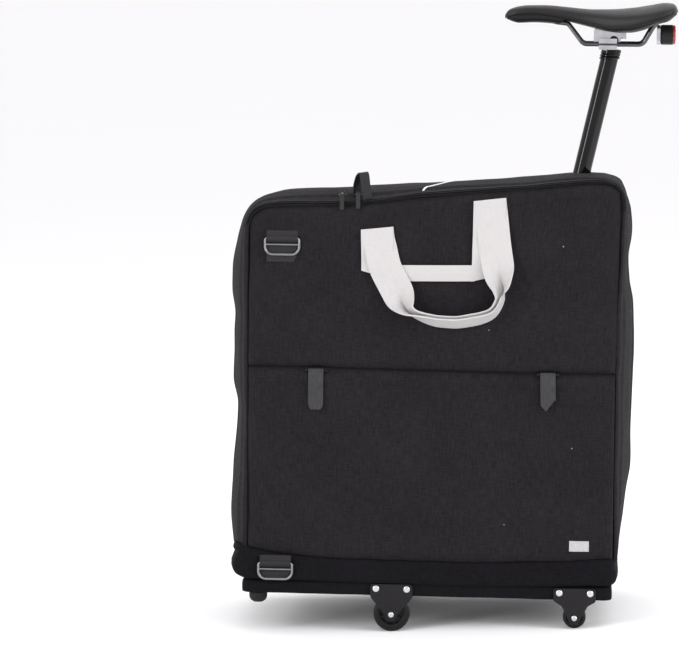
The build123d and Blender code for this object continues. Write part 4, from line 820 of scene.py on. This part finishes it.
class BAG_OT_trim(bpy.types.Operator):
    """Model the ring tabs, strap tails, zip, grab loop, piping and blank label"""
    bl_idname = "bag.trim"
    bl_label = "Bag Trim"

    def execute(self, context):
        for name, x, z, face, body, low in (("upper_ring", -229, 560, FRONT, "front_flap", 523),
                                            ("lower_ring", -236, 50, FRONT - 5, "bag", 25)):
            wire = face - 0.3 - 1.5 - 2 - 0.5
            under = face - 0.9 - max(0, bulge(x, low + 15, -1) if z > 100 else 0)
            over = face - 0.9 - max(0, bulge(x, z + 5, -1) if z > 100 else 0)
            path = [(under, low), (under - 0.2, low + 12), (under, z - 9)] + round_wire(wire, z, 3.3, -62,
                100) + [(over - 0.5, z + 6.5), (over + 0.2, z + 12)]
            tab = profile_ribbon(name + "_webbing_tab", x - 24.4, x + 24.4, path, (30, 60), (0.049, 0.07))
            done(tab, "webbing_black", body, [name + "_tab"], finish="tab_webbing")
            runs = [((x - 21, under - 0.9, low + 3), (x + 21, under - 0.9, low + 3)),
                    ((x - 21, under - 0.9, low + 8), (x + 21, under - 0.9, low + 8))]
            done(stitches(name + "_tab_stitching", runs, (0, -1, 0)), "webbing_black", body,
                 finish="dark_thread")
        for name, x, drop, pointed in (("left_strap", -175, 61, False), ("right_strap", 185, 57, True)):
            bar_y, bar_z = FRONT - 3.1, MID_SEAM - 6
            path = [(bar_y + 1.2, bar_z + 2.2)] + round_wire(bar_y, bar_z, 2.3, 100,
                                                             -40) + [(bar_y - 2.6, bar_z - 7),
                                                                 (bar_y - 3.4, bar_z - 20),
                                                                     (bar_y - 2.4, bar_z - 38),
                                                                         (bar_y - 2.9, bar_z - drop)]
            read = track(path)

            def where(u, v, x=x, read=read, pointed=pointed):
                y, z = read(v)[:2]
                half = 11.6
                if v > 0.8 and not pointed:
                    half *= (1 - ((v - 0.8) / 0.2) ** 3 * 0.35)
                at = x + (u * 2 - 1) * half + (1.5 * (v - 0.4) if pointed else 0)
                if pointed and v > 0.72:
                    z += (v - 0.72) / 0.28 * (30 * max(0, u - 0.35) + 25 * max(0, 0.35 - u))
                return at, y - 0.4 * sin(pi * u), z
            tail = cloth(name + "_webbing", (14, 70), where, (0.025, 0.075))
            thicken(tail, 0.0015)
            done(tail, "webbing_black", name, [name + "_tail"])

        def zip_path(t, lift=0.0):
            s = NOSE_SHARE * 1.01 + (TAIL_SHARE * 0.995 - NOSE_SHARE * 1.01) * t
            x, y, z = gusset_spot(s, (FRONT + 9 + 144) / 288 + 0.004)
            x0, z0, _ = rim(max(0, s - 0.004))
            x1, z1, _ = rim(min(1, s + 0.004))
            run = hypot(x1 - x0, z1 - z0)
            return x - (z1 - z0) / run * lift, FRONT + 9, z + (x1 - x0) / run * lift

        def tape(u, v):
            x, y, z = zip_path(v, 1.5)
            return x, y + (u - 0.5) * 13 - 0.5, z

        strip_tape = cloth("zip_tape", (6, 240), tape, (0.013, 0.76), wall=1.0, flip=True)
        bpy.ops.mesh.primitive_cube_add(size=2)
        tooth = bpy.context.object
        spots = []
        count = 330
        for k in range(count):
            t = (k + 0.5) / count
            a, b = Vector(zip_path(t - 0.4 / count, 2.5)), Vector(zip_path(t + 0.4 / count, 2.5))
            middle = (a + b) / 2
            spot = place(middle.x, middle.y + (0.7 if k % 2 else -0.7), middle.z)
            way = (place(*b) - place(*a)).normalized()
            up = DEEP.cross(way) * -1
            spots.append((spot, (way * 0.00075, DEEP * 0.0024, up * 0.00075)))
        teeth = copies("zip_coil", tooth, spots)
        apply(teeth, "BEVEL", width=0.0003, segments=1)
        done(join("zip_with_tape", [strip_tape, teeth]), "zip_nylon", "front_flap", ["zip_chain"])
        # grab loop
        loop_x, loop_z = -108.0, top_line(-105) + 20
        loop_read = track([(-9, -20), (-11.5, -8), (-11.5, 5), (-8, 17), (-1.5, 26), (3.5, 27.5), (7, 22),
                           (10, 8), (14, -6), (17.5, -19)])

        def loop_where(u, v):
            dx, dz = loop_read(v)[:2]
            turn, across = radians(52), (u - 0.5) * 17
            return (loop_x + dx * cos(turn) + across * sin(turn),
                    FRONT + 24 - dx * sin(turn) + across * cos(turn),
                    loop_z + dz + 3 * (u - 0.5) - 0.12 * across * (dx > 0))
        loop = cloth("zip_grab_loop", (12, 70), loop_where, (0.018, 0.08))
        thicken(loop, 0.0017, 0.0004)
        done(loop, "webbing_black", "bag", ["zip_garage_loop"], finish="tab_webbing")

        def pipe(t):
            x = -15 + 46 * t
            s = next(k / 400 for k in range(int(NOSE_SHARE * 400), 400) if rim(k / 400)[0] >= x)
            spot = gusset_spot(s, 0.075 + 0.27 * t ** 1.15)
            return x, spot[1], spot[2] + 2.2
        done(tube("reflective_line", pipe, 1.9, along=60), "reflective", "bag", ["reflective_piping"])
        label = strip("blank_label", -1, line((222, 79), (222, 95)), line((252.5, 79), (252.5, 95)),
                      (20, 12), (0.03, 0.016), 0.0, wall=0.9)
        done(label, "patch", "bag", ["name_patch"])
        return {"FINISHED"}


# ---------------------------------------------------------------- wheels, feet, cuff and saddle
def wheel_pieces(name, x, z, radius, width, side):
    near = side * (BACK - 2.2)
    far = near - side * width
    mid = (near + far) / 2
    half = width / 2 - 1
    core = radius * 0.72
    tread = [(core, -half), (radius - 3.5, -half), (radius - 1.2, -half + 1.2), (radius - 0.2, -half + 3.2),
             (radius, -2.6), (radius - 0.7, -2.0),
             (radius - 0.7, 2.0), (radius, 2.6), (radius - 0.2, half - 3.2), (radius - 1.2, half - 1.2),
             (radius - 3.5, half), (core, half), (core, -half)]
    tyre = turned(name + "_tyre", tread, (x, mid, z), steps=72, angle=40)
    rim_in, boss = core - 2.6, radius * 0.34
    hub_profile = [(3.3, -half - 0.6), (boss - 1, -half - 0.6), (boss, -half + 0.4), (boss + 0.5, -2.2),
                   (rim_in, -1.6), (rim_in + 0.3, -half + 1.4),
                   (core - 0.4, -half + 0.6), (core - 0.1, -half + 1.4), (core - 0.1, half - 1.4),
                   (core - 0.4, half - 0.6), (rim_in + 0.3, half - 1.4),
                   (rim_in, 1.6), (boss + 0.5, 2.2), (boss, half - 0.4), (boss - 1, half + 0.6),
                   (3.3, half + 0.6), (3.3, -half - 0.6)]
    hub = turned(name + "_hub", hub_profile, (x, mid, z), steps=60, angle=35)
    ribs = []
    for k in range(8):
        turn = 2 * pi * k / 8 + 0.3
        rib = block(name + "_rib", (boss - 1, -half + 1.2, -0.8), (rim_in + 0.8, half - 1.2, 0.8), 0.4)
        for vertex in rib.data.vertices:
            local = vertex.co - BAG_ORIGIN
            a, b, c = local.dot(ALONG) * 1000, local.y * 1000, local.dot(UPWARD) * 1000
            vertex.co = place(x + a * cos(turn) - c * sin(turn), mid + b, z + a * sin(turn) + c * cos(turn))
        ribs.append(rib)
    return tyre, join(name + "_hub", [hub, *ribs])


class BAG_OT_wheels(bpy.types.Operator):
    """Model the castor wheels and the rubber feet"""
    bl_idname = "bag.wheels"
    bl_label = "Wheels and Feet"

    def execute(self, context):
        for side, where in ((-1, "front"), (1, "back")):
            for kind, x, z, radius, width in (("centre", -54.0, -29.0, 28.5, 20.0),
                                              ("end", 232.0, -27.5, 18.0, 18.0)):
                name = f"{where}_{kind}_castor"
                tyre, hub = wheel_pieces(f"{where}_{kind}_wheel", x, z, radius, width, side)
                done(tyre, "castor_tyre", name, [name])
                done(hub, "castor_tyre", name, finish="lamp_plastic")
        profile = [(0.1, 0.0), (13.0, 0.0), (14.3, -1.0), (14.4, -6), (13.6, -10.5), (11.4, -14.2),
                   (8, -16.4), (4, -17.1), (0.1, -17.2)]
        feet = [turned("foot", profile, (-265.0, y, -0.3), "Z", 40) for y in (-131.5, 131.5)]
        done(join("rubber_stops", feet), "rubber", "bag", ["rubber_feet"])
        return {"FINISHED"}


CROWN = curve([(-168.5, 43), (-165, 49), (-160, 52.6), (-147, 56.8), (-132, 58.6), (-107, 58.9), (-77, 56.9),
               (-52, 54.6), (-33, 53.7), (-3, 54), (30, 56.4), (60, 61), (80, 64.2), (92, 63.4), (97, 59.5),
               (99, 54)])
SEAM = curve([(-168.5, 40), (-157, 44), (-144, 47), (-121, 47.6), (-102, 45.7), (-77, 42), (-63, 39.2),
              (-33, 32.4), (-2, 27.4), (24, 29.2), (46, 34), (72, 42), (92, 50), (99, 52.5)])
SHELL = curve([(-166, 37), (-156, 33), (-147, 31), (-122, 32), (-97, 30.8), (-84, 28.6), (-80, 30),
               (-75, 34.5), (-58, 31), (-35, 25.4), (-10, 19.5), (12, 17.6), (26, 17.8), (46, 22), (66, 31),
               (84, 36), (97, 46)])
HALF = curve([(-168.5, 3), (-166, 9), (-160, 13.6), (-150, 17.6), (-120, 21), (-75, 24.5), (-50, 28.5),
              (-30, 35), (-10, 44), (10, 53.5), (30, 62), (50, 68.5), (70, 71.8), (84, 69), (92, 61),
              (97, 47), (99, 30)])


def saddle_spot(u, v):
    x = -168.5 + 267.5 * v
    half, crown, seam = HALF(x), CROWN(x), SEAM(x)
    turn = 2 * pi * u
    y = half * (abs(sin(turn)) ** 0.82) * (1 if sin(turn) > 0 else -1)
    c = cos(turn)
    if c >= 0:
        z = seam + (crown - seam) * c ** 0.62
        z -= 1.5 * ridge(y, 9) * min(1, max(0, (x + 60) / 60)) * (1 - min(1, max(0, (x - 70) / 25)))
    else:
        z = seam - 2.2 * abs(c) ** 0.5
        y *= 1 - 0.06 * abs(c)
    return RAIL_CENTRE.x + x, RAIL_CENTRE.y + y, RAIL_CENTRE.z + z


def shell_spot(u, v):
    x = -166 + 263 * v
    half, top, low = HALF(x) - 2.4, SEAM(x) - 1.0, SHELL(x)
    turn = 2 * pi * u
    c, s = cos(turn), sin(turn)
    y = half * (abs(s) ** 0.7) * (1 if s > 0 else -1)
    if c >= 0:
        z = top + 2.5 * c
    else:
        z = top + (low - top) * abs(c) ** 0.5
        y *= 1 - 0.30 * abs(c) ** 1.5
    return RAIL_CENTRE.x + x, RAIL_CENTRE.y + y, RAIL_CENTRE.z + z


class BAG_OT_saddle(bpy.types.Operator):
    """Model the saddle's padded top and base, and the cuff round the seat post"""
    bl_idname = "bag.saddle"
    bl_label = "Saddle and Cuff"

    def execute(self, context):
        cover = cloth("saddle_padded_top", (72, 110), saddle_spot, (0.3, 0.27), closed=True)
        soften(cover, 60)
        done(cover, "saddle_skin", "saddle", ["saddle_cover"])
        base = cloth("saddle_base", (60, 90), shell_spot, (0.3, 0.27), closed=True)
        soften(base, 50)
        def edge(t, side):
            x = -167 + 263 * t
            return RAIL_CENTRE + Vector((x, side * (HALF(x) + 0.2), SEAM(x) - 0.6))

        edges = [tube("saddle_edge", lambda t, side=side: edge(t, side), 1.5, along=90) for side in (-1, 1)]
        done(join("saddle_base", [base, *edges]), "saddle_plastic", "saddle", ["saddle_shell"])
        profile = [(13.9, -16), (15.5, -17)]
        for k in range(8):
            wide = 20.4 - 0.45 * k
            profile += [(wide, -17 + 3.0 * k), (wide + 0.7, -16.2 + 3.0 * k), (wide, -15.4 + 3.0 * k),
                        (wide - 0.6, -14.6 + 3.0 * k)]
        profile += [(15.0, 7.4), (13.9, 7.2), (13.9, -16)]
        cuff = turned("elastic_cuff", profile, (230.0, -35.0, 655.0), "POST", 48, angle=60)
        for vertex in cuff.data.vertices:
            vertex.co -= UPWARD * 0.005
        rings = [(13.62, -7.5)]
        for k in range(3):
            rings += [(15.2, -7.2 + 4.4 * k), (15.9, -6.4 + 4.4 * k), (15.9, -4.6 + 4.4 * k),
                      (15.2, -3.8 + 4.4 * k), (14.3, -3.5 + 4.4 * k)]
        rings += [(13.62, 5.6), (13.62, -7.5)]
        done(turned("post_rings", rings, (272.0, -35.0, 844.4), "POST", 48, angle=30), "post_black",
             "seat_post")
        done(cuff, "woven_cloth", "bag", ["post_collar"], finish="webbing_black")
        return {"FINISHED"}


class BAG_OT_hardware(bpy.types.Operator):
    """Give every CAD piece that stays its material"""
    bl_idname = "bag.hardware"
    bl_label = "Hardware Finishes"

    def execute(self, context):
        for node in frame["nodes"].values():
            if node.hide_render:
                continue
            for slot in node.material_slots:
                dark = node.name.endswith(("zip_slider", "zip_pull"))
                slot.material = finish_of("dark_zinc" if dark else slot.material.name.split(".")[0])
        return {"FINISHED"}


# ---------------------------------------------------------------- stage
CAMERA_SPOT = Vector((262.18, -5057.93, 1043.89))      # from the bag's origin, millimetres
CAMERA_TURN = (-0.078, 0.125, -0.033)                  # yaw, pitch and roll, radians
LENS = 3200.835 / 679 * 36


class BAG_OT_stage(bpy.types.Operator):
    """Set up the floor, the soft lights and the camera"""
    bl_idname = "bag.stage"
    bl_label = "Stage"

    def execute(self, context):
        scene = context.scene
        look = scene.bag_stage
        yaw, pitch, roll = CAMERA_TURN
        ahead = Vector((sin(yaw) * cos(pitch), cos(yaw) * cos(pitch), -sin(pitch)))
        right = ahead.cross(Vector((0, 0, 1))).normalized()
        up = right.cross(ahead)
        tilted_right, tilted_up = right * cos(roll) + up * sin(roll), up * cos(roll) - right * sin(roll)
        bpy.ops.object.camera_add()
        camera = context.object
        camera.name = "camera"
        turn = Matrix((tilted_right, tilted_up, -ahead)).transposed().to_4x4()
        camera.matrix_world = Matrix.Translation(BAG_ORIGIN + CAMERA_SPOT / 1000) @ turn
        camera.data.sensor_width = 36
        camera.data.lens = LENS
        camera.data.clip_end = 120
        scene.camera = camera
        clear_choice()
        bpy.ops.mesh.primitive_grid_add(x_subdivisions=4, y_subdivisions=4, size=120)
        floor = context.object
        floor.name = "floor"
        p = Paint("studio_floor")
        cloud = p.noise(p.coords(False, (0.8, 0.8, 0.8)), 1.0, 2.0)
        tone = tuple(look.floor_color)
        floor.data.materials.append(p.finish(p.mix(cloud, rgb(*[c * 0.985 for c in tone]), rgb(*tone)), 0.7,
                                             Specular_IOR_Level=0.15))
        world = bpy.data.worlds.new("studio")
        scene.world = world
        world.use_nodes = True
        world.node_tree.nodes["Background"].inputs["Color"].default_value = (1.0, 0.99, 1.0, 1.0)
        world.node_tree.nodes["Background"].inputs["Strength"].default_value = look.sky
        for name, spot, size, power in (("key", (-1.6, -2.6, 3.0), 2.6, look.key),
                                        ("fill", (2.6, -3.0, 1.8), 2.2, look.fill),
                                        ("over", (0.2, 0.6, 3.6), 3.2, look.over)):
            bpy.ops.object.light_add(type="AREA", location=spot)
            light = context.object
            light.name = name
            light.data.size = size
            light.data.energy = power
            light.rotation_euler = (Vector((0, 0, 0.35)) - Vector(spot)).to_track_quat("-Z", "Y").to_euler()
        for name, spot in (("strip_left", (-2.8, -2.4, 1.7)), ("strip_right", (3.0, -1.6, 1.7))):
            bpy.ops.object.light_add(type="AREA", location=spot)
            light = context.object
            light.name = name
            light.data.shape = "RECTANGLE"
            light.data.size, light.data.size_y = 0.5, 2.4
            light.data.energy = look.strip
            light.rotation_euler = (Vector((0.1, 0, 0.9)) - Vector(spot)).to_track_quat("-Z", "Y").to_euler()
        scene.view_settings.view_transform = "Standard"
        return {"FINISHED"}


class BagSizes(bpy.types.PropertyGroup):
    cloth_tone: bpy.props.FloatProperty(name="Cloth tone", description="Brightness of the charcoal weave",
                                        default=0.0098, min=0.0, max=1.0, subtype="FACTOR")
    webbing_tone: bpy.props.FloatProperty(name="Webbing tone", description="Brightness of the pale handles",
                                          default=0.465, min=0.0, max=1.0, subtype="FACTOR")
    wrinkle: bpy.props.FloatProperty(name="Wrinkles", description="How deep the cloth's soft folds are",
                                     default=1.0, min=0.0, max=2.0, subtype="FACTOR")


class BagStage(bpy.types.PropertyGroup):
    floor_color: bpy.props.FloatVectorProperty(name="Floor", description="Colour of the floor",
                                               default=(0.965, 0.96, 0.97), min=0.0, max=1.0, subtype="COLOR")
    sky: bpy.props.FloatProperty(name="Surround", description="Strength of the light from all round",
                                 default=1.0, min=0.0, max=5.0)
    key: bpy.props.FloatProperty(name="Key light", description="Power of the main light", default=14.0,
                                 min=0.0, unit="POWER")
    fill: bpy.props.FloatProperty(name="Fill light", description="Power of the softer light", default=20.0,
                                  min=0.0, unit="POWER")
    strip: bpy.props.FloatProperty(name="Strip lights", description="Power of each narrow side light",
                                   default=60.0, min=0.0, unit="POWER")
    over: bpy.props.FloatProperty(name="Overhead light", description="Power of the light above",
                                  default=40.0, min=0.0, unit="POWER")


STEPS = (BAG_OT_shell, BAG_OT_handles, BAG_OT_trim, BAG_OT_wheels, BAG_OT_saddle, BAG_OT_hardware,
         BAG_OT_stage)


class BAG_PT_panel(bpy.types.Panel):
    """Lists the sizes, colours and operators"""
    bl_idname = "BAG_PT_panel"
    bl_label = "Bagged Bicycle"
    bl_space_type = "VIEW_3D"
    bl_region_type = "UI"
    bl_category = "Bag"

    def draw(self, context):
        for group in (context.scene.bag_sizes, context.scene.bag_stage):
            for name in group.bl_rna.properties.keys():
                if name not in ("rna_type", "name"):
                    self.layout.prop(group, name)
        for step in STEPS:
            self.layout.operator(step.bl_idname)


CLASSES = (BagSizes, BagStage, *STEPS, BAG_PT_panel)


def register():
    for made in CLASSES:
        bpy.utils.register_class(made)
    bpy.types.Scene.bag_sizes = bpy.props.PointerProperty(type=BagSizes)
    bpy.types.Scene.bag_stage = bpy.props.PointerProperty(type=BagStage)


def unregister():
    del bpy.types.Scene.bag_stage, bpy.types.Scene.bag_sizes
    for made in reversed(CLASSES):
        bpy.utils.unregister_class(made)


def main():
    register()
    for step in STEPS:
        group, name = step.bl_idname.split(".")
        getattr(getattr(bpy.ops, group), name)()


if __name__ == "__main__":
    main()
